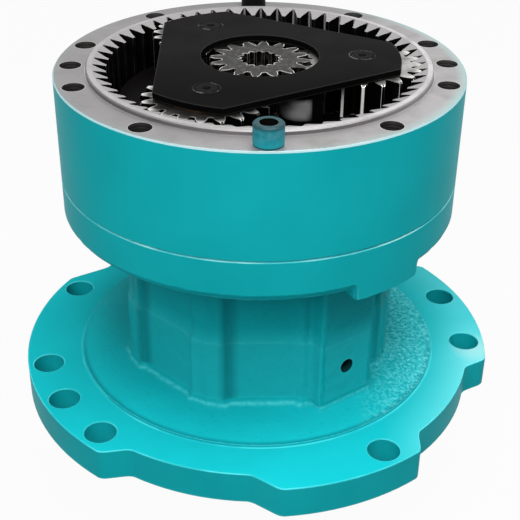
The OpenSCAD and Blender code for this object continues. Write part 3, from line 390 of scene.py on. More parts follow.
def from_axis(tree, place):
    """A point's distance from the gearbox's axis."""
    flat = add(tree, "VectorMath", {0: place, 1: (1, 1, 0)}, operation="MULTIPLY")
    return add(tree, "VectorMath", {0: flat}, operation="LENGTH")


def laid_over(tree, surface, mask, colour):
    """Lays another colour over a shader's own where mask is 1."""
    own = surface.inputs["Base Color"].links[0].from_socket
    tone = add(tree, "Mix", {0: mask, 6: own, 7: linear(colour)}, data_type="RGBA")
    tree.links.new(tone.outputs[2], surface.inputs["Base Color"])


# The casing's own coat: cast skin on the neck, deck and under the rim, turned on the flange and
# drum, and a pale rubbed line along the flange's broken edge
material, tree = empty_material("turquoise_enamel_on_cast_iron")
place = add(tree, "TexCoord").outputs["Object"]
at = add(tree, "SeparateXYZ", {0: place}).outputs
radius = from_axis(tree, place)
inside_step = add(tree, "Math", {0: radius, 1: step_r - 0.0005}, operation="LESS_THAN")
above_flange = add(tree, "Math", {0: at["Z"], 1: flange_top - 0.0005}, operation="GREATER_THAN")
cast_skin = overlap(tree, inside_step, above_flange)
facing = add(tree, "SeparateXYZ", {0: add(tree, "NewGeometry").outputs["True Normal"]}).outputs
at_edge_height = add(tree, "Math", {0: at["Z"], 1: flange_top - flange_bevel / 2, 2: flange_bevel},
                     operation="COMPARE")
tilted = add(tree, "Math", {0: facing["Z"], 1: 0.6, 2: 0.35}, operation="COMPARE")
outside_step = add(tree, "Math", {0: radius, 1: step_r + 0.0020}, operation="GREATER_THAN")
# Patches of some 45 mm, where the flange's edge is worn and where the painted highlights are strongest
patch_noise = add(tree, "TexNoise", {"Vector": place, "Scale": 1 / 0.045, "Detail": 3})
wear_and_highlight_patches = add(tree, "MapRange", {"Value": patch_noise, "From Min": 0.42, "From Max": 0.58,
                                    "To Min": 0.15, "To Max": 0.8})
flange_edge = overlap(tree, at_edge_height, tilted, outside_step, wear_and_highlight_patches)
# A painted highlight runs in broken dashes along the bead at the neck's foot, just above the deck
off_bead = add(tree, "Math", {0: at["Z"], 1: bead_z - 0.0006}, operation="SUBTRACT")
off_bead = add(tree, "Math", {0: off_bead}, operation="ABSOLUTE")
at_bead = add(tree, "MapRange", {"Value": off_bead, "From Min": 0.0016, "From Max": 0.0002,
                                 "To Max": 0.7})
highlight_noise = add(tree, "TexNoise", {"Vector": place, "Scale": 1 / 0.004, "Detail": 4})
highlight_breakup = add(tree, "MapRange", {"Value": highlight_noise, "From Min": 0.36, "From Max": 0.56, "To Min": 0.25,
                                 "To Max": 1})
bead_edge = overlap(tree, at_bead, highlight_breakup, cast_skin)
pale = add(tree, "Math", {0: flange_edge, 1: bead_edge}, operation="MAXIMUM")
coat = enamel(tree, place, cast_skin, pale, "#4CCDD4")
# Painted shade darkens the neck's upper half under the drum, more towards the top, and painted
# light brightens it below the parting line, whose ledge carries a broken painted highlight
near_neck = add(tree, "Math", {0: radius, 1: boss_face + 0.002}, operation="LESS_THAN")
above_deck = add(tree, "Math", {0: at["Z"], 1: deck_z + 0.0047}, operation="GREATER_THAN")
on_neck = overlap(tree, near_neck, above_deck)
painted_shade_under_drum = add(tree, "MapRange", {"Value": at["Z"], "From Min": parting_z + 0.0005,
                                   "From Max": parting_z + 0.040, "To Max": 0.22})
laid_over(tree, coat, overlap(tree, painted_shade_under_drum, on_neck), "#0B6D74")
painted_light_below_parting = add(tree, "MapRange", {"Value": at["Z"], "From Min": parting_z + 0.015,
                                   "From Max": parting_z - 0.0015, "To Max": 0.35})
laid_over(tree, coat, overlap(tree, painted_light_below_parting, on_neck), "#30C9D0")
ledge = add(tree, "Math", {0: at["Z"], 1: parting_z, 2: 0.0009}, operation="COMPARE")
laid_over(tree, coat, overlap(tree, ledge, highlight_breakup, on_neck, 0.18), "#4CCDD4")
# Painted shade lies on the neck just past each rib's right side, as if lit from the left. The
# turn from one rib to the next is 1, counted from halfway between them
turn_round = add(tree, "Math", {0: at["Y"], 1: at["X"]}, operation="ARCTAN2")
rib_turn = add(tree, "Math", {0: turn_round, 1: 4 / math.pi, 2: rib_count}, operation="MULTIPLY_ADD")
rib_turn = add(tree, "Math", {0: rib_turn}, operation="FRACT")
shade_turn = 0.69
past_rib = add(tree, "Math", {0: rib_turn, 1: shade_turn}, operation="SUBTRACT")
past_rib = add(tree, "Math", {0: past_rib}, operation="ABSOLUTE")
shade = add(tree, "MapRange", {"Value": past_rib, "From Min": 0.10, "From Max": 0.02, "To Max": 0.55})
clear_of_boss = add(tree, "Math", {0: radius, 1: rib_face + 0.003}, operation="LESS_THAN")
laid_over(tree, coat, overlap(tree, shade, on_neck, clear_of_boss), "#0B6F76")
# Painted shade lies along the deck's step, most at the front, and a paler line runs along the flange
# at the step's foot, also most at the front
low_down = add(tree, "Math", {0: at["Z"], 1: deck_z + 0.0097}, operation="LESS_THAN")
in_step = add(tree, "MapRange", {"Value": radius, "From Min": step_r - 0.0045,
                                 "From Max": step_r - 0.0015, "To Max": 0.8})
in_front = add(tree, "MapRange", {"Value": at["Y"], "From Min": 0.02, "From Max": -0.05, "To Min": 0.1,
                                  "To Max": 1})
laid_over(tree, coat, overlap(tree, in_step, cast_skin, low_down, in_front), "#067C85")
at_foot = add(tree, "Math", {0: radius, 1: step_r + 0.0011, 2: 0.0009}, operation="COMPARE")
laid_over(tree, coat, overlap(tree, at_foot, wear_and_highlight_patches, in_front), "#3FC9D0")
# A painted highlight lies in dashes along the joint's chamfer
at_joint = add(tree, "Math", {0: at["Z"], 1: joint_z - joint_chamfer - 0.0001},
               operation="GREATER_THAN")
on_drum = add(tree, "Math", {0: radius, 1: drum_r - 0.003}, operation="GREATER_THAN")
laid_over(tree, coat, overlap(tree, at_joint, wear_and_highlight_patches, on_drum), "#9ADEDF")
# At the right, painted shade and painted glints speckle the deck's grains
at_right = add(tree, "MapRange", {"Value": at["X"], "From Min": 0.075, "From Max": 0.125})
on_right = overlap(tree, at_right, low_down, cast_skin)
grains = add(tree, "TexNoise", {"Vector": place, "Scale": 1 / 0.0032, "Detail": 4, "Roughness": 0.75})
for low, high, most, tint in ((0.50, 0.36, 0.60, "#0C8088"), (0.47, 0.68, 0.70, "#7CE3E7")):
    grain = add(tree, "MapRange", {"Value": grains, "From Min": low, "From Max": high, "To Max": most})
    laid_over(tree, coat, overlap(tree, grain, on_right), tint)
# A painted sheen lies over the flange's top at the right, strongest towards its outer edge
looks_up = add(tree, "Math", {0: facing["Z"], 1: 0.8}, operation="GREATER_THAN")
painted_sheen = add(tree, "MapRange", {"Value": at["X"], "From Min": 0.095, "From Max": 0.185})
outward = add(tree, "MapRange", {"Value": radius, "From Min": step_r, "From Max": 0.196, "To Min": 0.10,
                                 "To Max": 0.50})
rear = add(tree, "MapRange", {"Value": at["Y"], "From Min": 0.02, "From Max": -0.04, "To Min": 0.4,
                              "To Max": 1})
laid_over(tree, coat, overlap(tree, painted_sheen, looks_up, outward, rear), "#8AE0E2")
# The right lobe's tip has been walked on down to the primer
lobe_tip = (0.196, -0.028, flange_top)
from_tip = add(tree, "VectorMath", {0: place, 1: lobe_tip}, operation="DISTANCE")
trodden = add(tree, "MapRange", {"Value": from_tip, "From Min": 0.024, "From Max": 0.006,
                                 "To Max": 0.42})
laid_over(tree, coat, overlap(tree, trodden, looks_up), "#B4D0CF")
# The port's inside is darkened to a deep teal
boss_across = (-math.sin(boss_angle), math.cos(boss_angle), 0)
boss_out = (math.cos(boss_angle), math.sin(boss_angle), 0)
across = add(tree, "VectorMath", {0: place, 1: boss_across}, operation="DOT_PRODUCT")
above = add(tree, "Math", {0: at["Z"], 1: port_z}, operation="SUBTRACT")
from_port = add(tree, "CombineXYZ", {0: across, 1: above})
from_port = add(tree, "VectorMath", {0: from_port}, operation="LENGTH")
in_port = add(tree, "Math", {0: from_port, 1: port_r + 0.0001}, operation="LESS_THAN")
boss_side = add(tree, "VectorMath", {0: place, 1: boss_out}, operation="DOT_PRODUCT")
boss_side = add(tree, "Math", {0: boss_side, 1: 0}, operation="GREATER_THAN")
laid_over(tree, coat, overlap(tree, in_port, boss_side), "#0A3A40")
add(tree, "OutputMaterial", {"Surface": coat})
casing.data.materials.clear()
casing.data.materials.append(material)


# Seal carrier with its seal and screws
# A flanged iron ring under the base, turned and oily, held by eight blacked socket screws. A
# rubber O-ring seals it in the casing, and the spring-loaded lip seal runs on the shaft's journal.
def dress(material, *names):
    """Gives CAD nodes their finish."""
    for name in names:
        nodes[name].data.materials.clear()
        nodes[name].data.materials.append(material)


# Iron or steel turned on a lathe and left bare under an oil film: feed lines 1.2 mm apart run
# round the axis, and oil stains of about 25 mm darken it
def turned_metal(tree, place, colour, stain_colour, roughness):
    along = add(tree, "SeparateXYZ", {0: place}).outputs
    feed = add(tree, "Math", {0: from_axis(tree, place), 1: along["Z"]}, operation="ADD")
    lines = add(tree, "TexNoise", {"W": feed, "Scale": 1 / 0.0012, "Detail": 1}, noise_dimensions="1D")
    stain = add(tree, "TexNoise", {"Vector": place, "Scale": 1 / 0.025, "Detail": 4})
    dark = add(tree, "MapRange", {"Value": stain, "From Min": 0.42, "From Max": 0.72})
    tone = add(tree, "Mix", {0: dark, 6: linear(colour), 7: linear(stain_colour)}, data_type="RGBA")
    gloss = add(tree, "MapRange", {"Value": stain, "From Min": 0.3, "From Max": 0.7,
                                   "To Min": roughness - 0.06, "To Max": roughness + 0.10})
    bump = add(tree, "Bump", {"Strength": 0.35, "Distance": 0.00008, "Height": lines})
    return add(tree, "BsdfPrincipled", {"Base Color": tone, "Metallic": 0.9, "Roughness": gloss,
                                        "Normal": bump})


carrier_iron, tree = empty_material("turned_cast_iron")
surface = turned_metal(tree, add(tree, "TexCoord").outputs["Object"], "#8A8783", "#3A3835", 0.42)
add(tree, "OutputMaterial", {"Surface": surface})

# Moulded nitrile rubber: near black and matt, with a faint bloom and a mould grain of 0.5 mm
rubber, tree = empty_material("moulded_nitrile_rubber")
place = add(tree, "TexCoord").outputs["Object"]
bloom = add(tree, "TexNoise", {"Vector": place, "Scale": 1 / 0.012, "Detail": 3})
grain = add(tree, "TexNoise", {"Vector": place, "Scale": 1 / 0.0005, "Detail": 1})
tone = add(tree, "Mix", {0: bloom, 6: linear("#171616"), 7: linear("#2C2A28")}, data_type="RGBA")
bump = add(tree, "Bump", {"Strength": 0.3, "Distance": 0.00005, "Height": grain})
surface = add(tree, "BsdfPrincipled", {"Base Color": tone, "Roughness": 0.62, "IOR": 1.52,
                                       "Normal": bump})
add(tree, "OutputMaterial", {"Surface": surface})

# Alloy steel blacked in a hot bath and oiled: charcoal, smutty, with paler worn corners
blacked, tree = empty_material("oil_blacked_steel")
place = add(tree, "TexCoord").outputs["Object"]
smut = add(tree, "TexNoise", {"Vector": place, "Scale": 1 / 0.004, "Detail": 3})
worn = at_corner(tree, 0.0008, 0.85, 0.55, 0.7, samples=6)
tone = add(tree, "Mix", {0: smut, 6: linear("#1D1D1F"), 7: linear("#34353A")}, data_type="RGBA")
tone = add(tree, "Mix", {0: worn, 6: tone, 7: linear("#8C8B88")}, data_type="RGBA")
surface = add(tree, "BsdfPrincipled", {"Base Color": tone, "Metallic": 0.7, "Roughness": 0.42})
add(tree, "OutputMaterial", {"Surface": surface})

dress(carrier_iron, "seal_carrier")
dress(rubber, "oil_seal", "seal_carrier_o_ring")
dress(blacked, "seal_carrier_screws")


# Tapered roller bearings
# Through-hardened rings and rollers, ground bright, in brass cages. The lower one sits in the
# base and the upper one at the neck's top, face to face, and they carry the output shaft.

# Ground bearing steel: bright and smooth, with hair lines 0.4 mm apart round the axis
ground, tree = empty_material("ground_bearing_steel")
place = add(tree, "TexCoord").outputs["Object"]
along = add(tree, "SeparateXYZ", {0: place}).outputs
hair = add(tree, "TexNoise", {"W": along["Z"], "Scale": 1 / 0.0004, "Detail": 1}, noise_dimensions="1D")
film = add(tree, "TexNoise", {"Vector": place, "Scale": 1 / 0.018, "Detail": 2})
tone = add(tree, "Mix", {0: film, 6: linear("#B9BBBE"), 7: linear("#8D8B86")}, data_type="RGBA")
bump = add(tree, "Bump", {"Strength": 0.2, "Distance": 0.00002, "Height": hair})
surface = add(tree, "BsdfPrincipled", {"Base Color": tone, "Metallic": 1.0, "Roughness": 0.18,
                                       "Normal": bump})
add(tree, "OutputMaterial", {"Surface": surface})

# Machined brass cages: yellow and satin, tarnished brown in patches of about 8 mm
brass, tree = empty_material("machined_brass")
place = add(tree, "TexCoord").outputs["Object"]
tarnish = add(tree, "TexNoise", {"Vector": place, "Scale": 1 / 0.008, "Detail": 3})
brown = add(tree, "MapRange", {"Value": tarnish, "From Min": 0.4, "From Max": 0.7, "To Max": 0.6})
tone = add(tree, "Mix", {0: brown, 6: linear("#C9A557"), 7: linear("#7A5A2B")}, data_type="RGBA")
surface = add(tree, "BsdfPrincipled", {"Base Color": tone, "Metallic": 1.0, "Roughness": 0.32})
add(tree, "OutputMaterial", {"Surface": surface})

dress(ground, "lower_bearing_cup", "upper_bearing_cup", "lower_bearing_cone", "upper_bearing_cone",
      "lower_bearing_rollers", "upper_bearing_rollers")
dress(brass, "lower_bearing_cage", "upper_bearing_cage")


# Output shaft with its pinion
# One forging of alloy steel, case-hardened: the pinion's 12 teeth under the base, the bearings'
# journals, and a spline on top for the second carrier.

# Hobbed gear steel. Oil darkens the flanks, the ends are turned, and the corners are bright where
# the oil is thin: polished by handling, with a painted glint.
def gear_steel(tree, place, end_colour, flank_colour):
    """end_colour is for faces that look up or down, flank_colour for the others."""
    facing = add(tree, "SeparateXYZ", {0: add(tree, "TexCoord").outputs["Normal"]}).outputs
    upright = add(tree, "Math", {0: facing["Z"]}, operation="ABSOLUTE")
    is_end = add(tree, "MapRange", {"Value": upright, "From Min": 0.75, "From Max": 0.95})
    # Oil lies in patches of some 12 mm, and the hob leaves scallops 1.5 mm apart along a tooth
    oil = add(tree, "TexNoise", {"Vector": place, "Scale": 1 / 0.012, "Detail": 4})
    wet = add(tree, "MapRange", {"Value": oil, "From Min": 0.38, "From Max": 0.68, "To Max": 0.7})
    end = add(tree, "Mix", {0: wet, 6: linear(end_colour), 7: linear("#7A7775")}, data_type="RGBA",
              blend_type="MULTIPLY")
    flank = add(tree, "Mix", {0: wet, 6: linear(flank_colour), 7: linear("#0C0C0C")}, data_type="RGBA")
    tone = add(tree, "Mix", {0: is_end, 6: flank, 7: end}, data_type="RGBA")
    wear_and_glint = add(tree, "MapRange", {"Value": oil, "From Min": 0.62, "From Max": 0.46})
    polish_and_glint = overlap(tree, at_corner(tree, 0.0011, 0.84, 0.60), wear_and_glint)
    tone = add(tree, "Mix", {0: polish_and_glint, 6: tone, 7: linear("#F2F0EC")}, data_type="RGBA")
    along = add(tree, "SeparateXYZ", {0: place}).outputs
    scallops = add(tree, "TexNoise", {"W": along["Z"], "Scale": 1 / 0.0015, "Detail": 1},
                   noise_dimensions="1D")
    bump = add(tree, "Bump", {"Strength": 0.3, "Distance": 0.00005, "Height": scallops})
    return add(tree, "BsdfPrincipled", {"Base Color": tone, "Metallic": 0.95, "Roughness": 0.36,
                                        "Normal": bump})


hardened, tree = empty_material("hobbed_gear_steel")
surface = gear_steel(tree, add(tree, "TexCoord").outputs["Object"], "#A5A2A1", "#4A4846")
add(tree, "OutputMaterial", {"Surface": surface})
dress(hardened, "pinion_shaft")


# Shaft nut and end plate
# A slotted steel nut with a tabbed washer sets the bearings, and a plate with three countersunk
# screws holds the second carrier down on the shaft's spline. All are blacked and oiled.
dress(blacked, "lock_washer", "lock_nut", "retainer_plate", "retainer_screws")


# Second-stage carrier
# A cage-type iron casting, turned all over. Its ground pins are pressed in, and a cross pin
# locks each. Bronze washers run above and below the planets, and a bronze ring on its top.

# Sintered bronze: warm brown, satin from running, with oil-dark patches of about 6 mm
bronze, tree = empty_material("sintered_bronze")
place = add(tree, "TexCoord").outputs["Object"]
oil = add(tree, "TexNoise", {"Vector": place, "Scale": 1 / 0.006, "Detail": 3})
tone = add(tree, "Mix", {0: oil, 6: linear("#6B5138"), 7: linear("#33271B")}, data_type="RGBA")
surface = add(tree, "BsdfPrincipled", {"Base Color": tone, "Metallic": 1.0, "Roughness": 0.36})
add(tree, "OutputMaterial", {"Surface": surface})

dress(carrier_iron, "carrier_2")
dress(ground, "planet_pins_2")
dress(blacked, "pin_locks_2")
dress(bronze, "thrust_washers_2", "thrust_ring")


# Second-stage planets
# Three hobbed and hardened gears, each on two full rows of loose needle rollers.
dress(hardened, "planet_gear_2a", "planet_gear_2b", "planet_gear_2c")
dress(ground, "needle_rollers_2a", "needle_rollers_2b", "needle_rollers_2c")


# Ring gear
# A ring of alloy steel that is also the drum's upper part: 56 shaped teeth inside, a turned face
# and pilot on top for the motor, and the casing's enamel outside. Dowels set it, and an O-ring
# seals the joint.
pilot_r = 0.1375
root_r = 0.1316
cone_r = 0.1326
face_z = 0.288
drum_chamfer = 0.00125
material, tree = empty_material("enamelled_ring_gear_steel")
place = add(tree, "TexCoord").outputs["Object"]
at = add(tree, "SeparateXYZ", {0: place}).outputs
radius = from_axis(tree, place)
facing = add(tree, "SeparateXYZ", {0: add(tree, "TexCoord").outputs["Normal"]}).outputs

# Mist of the enamel has drifted over the motor face's outer millimetres, most at the right, and
# painted shade darkens the face towards its left side
teeth = gear_steel(tree, place, "#A5A2A1", "#3A3837")
laid_over(tree, teeth, 0.75, "#161514")
turned_face = turned_metal(tree, place, "#A09E9F", "#848281", 0.46)
mist_edge = add(tree, "MapRange", {"Value": radius, "From Min": drum_r - 0.009,
                                   "From Max": drum_r - 0.002})
mist_side = add(tree, "MapRange", {"Value": at["X"], "From Min": 0.02, "From Max": 0.14, "To Min": 0.15,
                                   "To Max": 0.5})
laid_over(tree, turned_face, overlap(tree, mist_edge, mist_side), "#9FC4C0")
painted_shade_left = add(tree, "MapRange", {"Value": at["X"], "From Min": 0.12, "From Max": -0.14, "To Max": 0.55})
laid_over(tree, turned_face, painted_shade_left, "#706E6F")

# Old oil darkens the walls of the bolt holes, which lie outside the pilot, between the rings that
# the drill left 2.5 mm apart. The wave's own bands are 0.314 apart
band_gap = 0.314
sideways = add(tree, "Math", {0: facing["Z"], 1: 0.5}, operation="LESS_THAN")
past_pilot = add(tree, "Math", {0: radius, 1: pilot_r + 0.001}, operation="GREATER_THAN")
hole_wall = overlap(tree, sideways, past_pilot)
rings = add(tree, "TexWave", {"Vector": place, "Scale": band_gap / 0.0025}, bands_direction="Z")
oil_and_painted_shade = add(tree, "MapRange", {"Value": rings.outputs["Fac"], "To Min": 0.95, "To Max": 0.70})
laid_over(tree, turned_face, overlap(tree, oil_and_painted_shade, hole_wall), "#3B3836")

# The lathe tool burnished the face round the pilot's foot, in patches, and every corner is bright,
# partly from polish and partly as a painted highlight
at_foot = add(tree, "Math", {0: radius, 1: pilot_r + 0.0005, 2: 0.0004}, operation="COMPARE")
patches = add(tree, "TexNoise", {"Vector": place, "Scale": 1 / 0.040, "Detail": 2})
shiny = add(tree, "MapRange", {"Value": patches, "From Min": 0.42, "From Max": 0.58, "To Min": 0.1,
                               "To Max": 0.5})
laid_over(tree, turned_face, overlap(tree, shiny, at_foot), "#D6D4D5")
bright = at_corner(tree, 0.0009, 0.84, 0.60, 0.6)
laid_over(tree, turned_face, overlap(tree, bright, past_pilot), "#DAD8D9")
# The pilot's own rim is turned with another tool and duller, and painted shade darkens it most at the
# left
rim_width = 0.0009
on_rim = add(tree, "Math", {0: radius, 1: pilot_r, 2: rim_width}, operation="COMPARE")
above_face = add(tree, "Math", {0: at["Z"], 1: face_z + 0.0002}, operation="GREATER_THAN")
rim_dull_and_shade = add(tree, "MapRange", {"Value": at["X"], "From Min": 0.05, "From Max": 0.12, "To Min": 1,
                              "To Max": 0.4})
laid_over(tree, turned_face, overlap(tree, on_rim, above_face, rim_dull_and_shade), "#6F6D6E")
# Oil has crept over the face behind
behind = add(tree, "MapRange", {"Value": at["Y"], "From Min": 0.09, "From Max": 0.15, "To Max": 0.6})
laid_over(tree, turned_face, behind, "#6A6869")

# The pilot's top has lost its shine, and the cone on the teeth's ends is darker still
in_cone = add(tree, "Math", {0: radius, 1: cone_r}, operation="LESS_THAN")
laid_over(tree, turned_face, in_cone, "#7F7D7E")
in_pilot = add(tree, "Math", {0: radius, 1: pilot_r - rim_width}, operation="LESS_THAN")
metal = add(tree, "MapRange", {"Value": in_pilot, "To Min": 0.9, "To Max": 0.12})
tree.links.new(metal.outputs[0], turned_face.inputs["Metallic"])
turned_face.inputs["Specular IOR Level"].default_value = 0.1

# The enamel is rubbed to a pale line along the chamfer, where radius and height add up to most
corner_sum = add(tree, "Math", {0: radius, 1: at["Z"]}, operation="ADD")
least_sum = drum_r + face_z - drum_chamfer - 0.0001
line = add(tree, "Math", {0: corner_sum, 1: least_sum}, operation="GREATER_THAN")
drum_coat = enamel(tree, place, 0.0, line, "#8BA9AC")

looks_up = add(tree, "Math", {0: facing["Z"], 1: 0.8}, operation="GREATER_THAN")
in_teeth = add(tree, "Math", {0: radius, 1: root_r}, operation="LESS_THAN")
is_flank = add(tree, "Math", {0: in_teeth, 1: looks_up}, operation="SUBTRACT")
steel = add(tree, "MixShader", {0: is_flank, 1: turned_face, 2: teeth})
is_outside = add(tree, "Math", {0: radius, 1: drum_r - drum_chamfer + 0.0001}, operation="GREATER_THAN")
surface = add(tree, "MixShader", {0: is_outside, 1: steel, 2: drum_coat})
add(tree, "OutputMaterial", {"Surface": surface})
dress(material, "ring_gear")
dress(rubber, "joint_o_ring")
dress(blacked, "joint_dowels")


# Dowel sleeves
# Two hollow steel dowels that stand up from the motor face and set the motor. The front one
# caught the enamel's spray, thin and blotchy, and the back one is near black.
dowel_circle_r = 0.150
dowel_bore_r = 0.0068
dowel_top = face_z + 0.016
material, tree = empty_material("sprayed_dowel_steel")
place = add(tree, "TexCoord").outputs["Object"]
at = add(tree, "SeparateXYZ", {0: place}).outputs
blotch = add(tree, "TexNoise", {"Vector": place, "Scale": 1 / 0.004, "Detail": 4})
thin = add(tree, "MapRange", {"Value": blotch, "From Min": 0.35, "From Max": 0.65})
tone = add(tree, "Mix", {0: thin, 6: linear("#15808C"), 7: linear("#3E8B98")}, data_type="RGBA")
surface = add(tree, "BsdfPrincipled", {"Base Color": tone, "Metallic": 0.2, "Roughness": 0.42,
                                       "Specular IOR Level": 0.1})
# The spray is thickest low down, above a painted contact shadow round the foot. Near the rim the
# steel is bare and dark, its edge bright in places with a painted highlight, and the bore is black with
# oil
low = add(tree, "MapRange", {"Value": at["Z"], "From Min": face_z + 0.0100, "From Max": face_z + 0.0030,
                             "To Max": 0.65})
laid_over(tree, surface, low, "#1C9BA6")
foot = add(tree, "MapRange", {"Value": at["Z"], "From Min": face_z + 0.0015,
                              "From Max": face_z + 0.0007, "To Max": 0.85})
laid_over(tree, surface, foot, "#0D2C34")
near_rim = add(tree, "MapRange", {"Value": at["Z"], "From Min": dowel_top - 0.0035,
                                  "From Max": dowel_top - 0.0008, "To Max": 0.9})
laid_over(tree, surface, near_rim, "#1D2E31")
bright = at_corner(tree, 0.0008, 0.80, 0.60)
laid_over(tree, surface, overlap(tree, bright, thin), "#C4D6D8")
mirrored = add(tree, "VectorMath", {0: place}, operation="ABSOLUTE")
in_plan = add(tree, "VectorMath", {0: mirrored, 1: (1, 1, 0)}, operation="MULTIPLY")
from_bore = add(tree, "VectorMath", {0: in_plan, 1: (0, dowel_circle_r, 0)}, operation="DISTANCE")
in_bore = add(tree, "Math", {0: from_bore, 1: dowel_bore_r}, operation="LESS_THAN")
laid_over(tree, surface, in_bore, "#0B0B0B")
at_back = add(tree, "Math", {0: at["Y"], 1: 0.0}, operation="GREATER_THAN")
laid_over(tree, surface, at_back, "#0D0C0C")
add(tree, "OutputMaterial", {"Surface": surface})
dress(material, "motor_dowel_sleeves")


# First-stage carrier with the second sun
# An iron disc with three posts, broached to sit on the second sun's teeth between two snap
# rings. A bronze button on the sun's end bears the first sun, and lock pins hold the planet pins.

# Turned posts in satin grey. Painted shade blackens the well over the disc round their feet, the
# plate's painted shadow blackens their tops, and painted shade darkens each post's far side
material, tree = empty_material("carrier_iron_in_painted_shade")
place = add(tree, "TexCoord").outputs["Object"]
at = add(tree, "SeparateXYZ", {0: place}).outputs
surface = turned_metal(tree, place, "#E4E3E3", "#B4B3B3", 0.38)
well_shade_z = 0.2690
post_top_z = 0.2870
above_well_shade = add(tree, "MapRange", {"Value": at["Z"], "From Min": well_shade_z, "From Max": well_shade_z + 0.0095})
below_plate = add(tree, "MapRange", {"Value": at["Z"], "From Min": post_top_z,
                                     "From Max": post_top_z - 0.0040})
# A third of a turn from post to post is 1, and a post's middle is at 0.5
turn_round = add(tree, "Math", {0: at["Y"], 1: at["X"]}, operation="ARCTAN2")
post_phase = 3.01
post_turn = add(tree, "Math", {0: turn_round, 1: 1.5 / math.pi, 2: post_phase},
                operation="MULTIPLY_ADD")
post_turn = add(tree, "Math", {0: post_turn}, operation="FRACT")
lit_side = add(tree, "MapRange", {"Value": post_turn, "From Min": 0.495, "From Max": 0.460})
lit_band = overlap(tree, below_plate, above_well_shade, lit_side)
oil_and_painted_shade = add(tree, "Math", {0: 1, 1: lit_band}, operation="SUBTRACT")
laid_over(tree, surface, oil_and_painted_shade, "#060505")
metal = overlap(tree, lit_band, 0.9)
tree.links.new(metal.outputs[0], surface.inputs["Metallic"])
surface.inputs["Specular IOR Level"].default_value = 0.02
add(tree, "OutputMaterial", {"Surface": surface})
dress(material, "carrier_1")
dress(hardened, "sun_gear_2")
dress(blacked, "sun_snap_rings", "pin_locks_1")
dress(bronze, "thrust_button", "thrust_washers_1")


# First-stage planets
# Three hobbed and hardened gears on full rows of loose needle rollers. The right one has lighter
# ends and a painted highlight on its lands, and the two at the left are darker.

# Each gear, its place round the sun, and the colours of its ends and its flanks
orbit_r = 0.081
planet_tip_r = 0.0495
planet_looks = [("a", math.radians(-1.2), "#B3B1AE", "#1E1D1C"),
                ("b", math.radians(118.8), "#4A4947", "#131211"),
                ("c", math.radians(238.8), "#4A4947", "#131211")]
for letter, angle, end_colour, flank_colour in planet_looks:
    material, tree = empty_material("planet_gear_steel_" + letter)
    place = add(tree, "TexCoord").outputs["Object"]
    surface = gear_steel(tree, place, end_colour, flank_colour)
    # The ends are near white towards the teeth's tips, and the right gear's lands, except those facing
    # right, carry a painted highlight
    centre = (orbit_r * math.cos(angle), orbit_r * math.sin(angle), 0)
    off_centre = add(tree, "VectorMath", {0: place, 1: centre}, operation="SUBTRACT")
    from_centre = from_axis(tree, off_centre)
    facing = add(tree, "SeparateXYZ", {0: add(tree, "TexCoord").outputs["Normal"]}).outputs
    tips = add(tree, "MapRange", {"Value": from_centre, "From Min": planet_tip_r - 0.0065,
                                  "From Max": planet_tip_r - 0.0010, "To Max": 0.9})
    upward = add(tree, "Math", {0: facing["Z"], 1: 0.85}, operation="GREATER_THAN")
    laid_over(tree, surface, overlap(tree, tips, upward), "#F0EEEB")
    if letter == "a":
        lands = add(tree, "Math", {0: from_centre, 1: planet_tip_r - 0.0003}, operation="GREATER_THAN")
        to_front = add(tree, "MapRange", {"Value": facing["X"], "From Min": 0.18, "From Max": 0.0})
        lit_lands = overlap(tree, lands, to_front)
        laid_over(tree, surface, lit_lands, "#E4E2DE")
        metal = add(tree, "MapRange", {"Value": lit_lands, "To Min": 0.95, "To Max": 0.2})
        tree.links.new(metal.outputs[0], surface.inputs["Metallic"])
    add(tree, "OutputMaterial", {"Surface": surface})
    dress(material, "planet_gear_1" + letter)
dress(ground, "needle_rollers_1a", "needle_rollers_1b", "needle_rollers_1c")


# Planet pins
# Three ground steel pins, pressed into the carrier's disc and staked at the top into the plate:
# a punched ring runs round each end, and a centre hole is left from grinding.
pin_r = 0.016
pin_end_r = 0.0105
pin_foot = 0.25045
pin_step = 0.29070
pin_top = 0.2963
stake_ring = [0.0084, 0.0090, 0.0096]
centre_r = 0.0022

# Ground steel below. The end is dull and dark, and the punched ring catches the light in places
material, tree = empty_material("staked_pin_steel")
place = add(tree, "TexCoord").outputs["Object"]
at = add(tree, "SeparateXYZ", {0: place}).outputs
is_end = add(tree, "Math", {0: at["Z"], 1: pin_step + 0.001}, operation="GREATER_THAN")
cloud = add(tree, "TexNoise", {"Vector": place, "Scale": 1 / 0.006, "Detail": 2})
tone = add(tree, "Mix", {0: cloud, 6: linear("#A4A29E"), 7: linear("#85837F")}, data_type="RGBA")
metal = add(tree, "MapRange", {"Value": is_end, "To Min": 1, "To Max": 0})
surface = add(tree, "BsdfPrincipled", {"Base Color": tone, "Metallic": metal, "Roughness": 0.40,
                                       "Specular IOR Level": 0.01})
laid_over(tree, surface, is_end, "#0E0D0D")
edge = at_corner(tree, 0.0007, 0.84, 0.60)
caught = add(tree, "MapRange", {"Value": cloud, "From Min": 0.44, "From Max": 0.58, "To Max": 0.8})
laid_over(tree, surface, overlap(tree, edge, caught), "#B0AEAB")
add(tree, "OutputMaterial", {"Surface": surface})

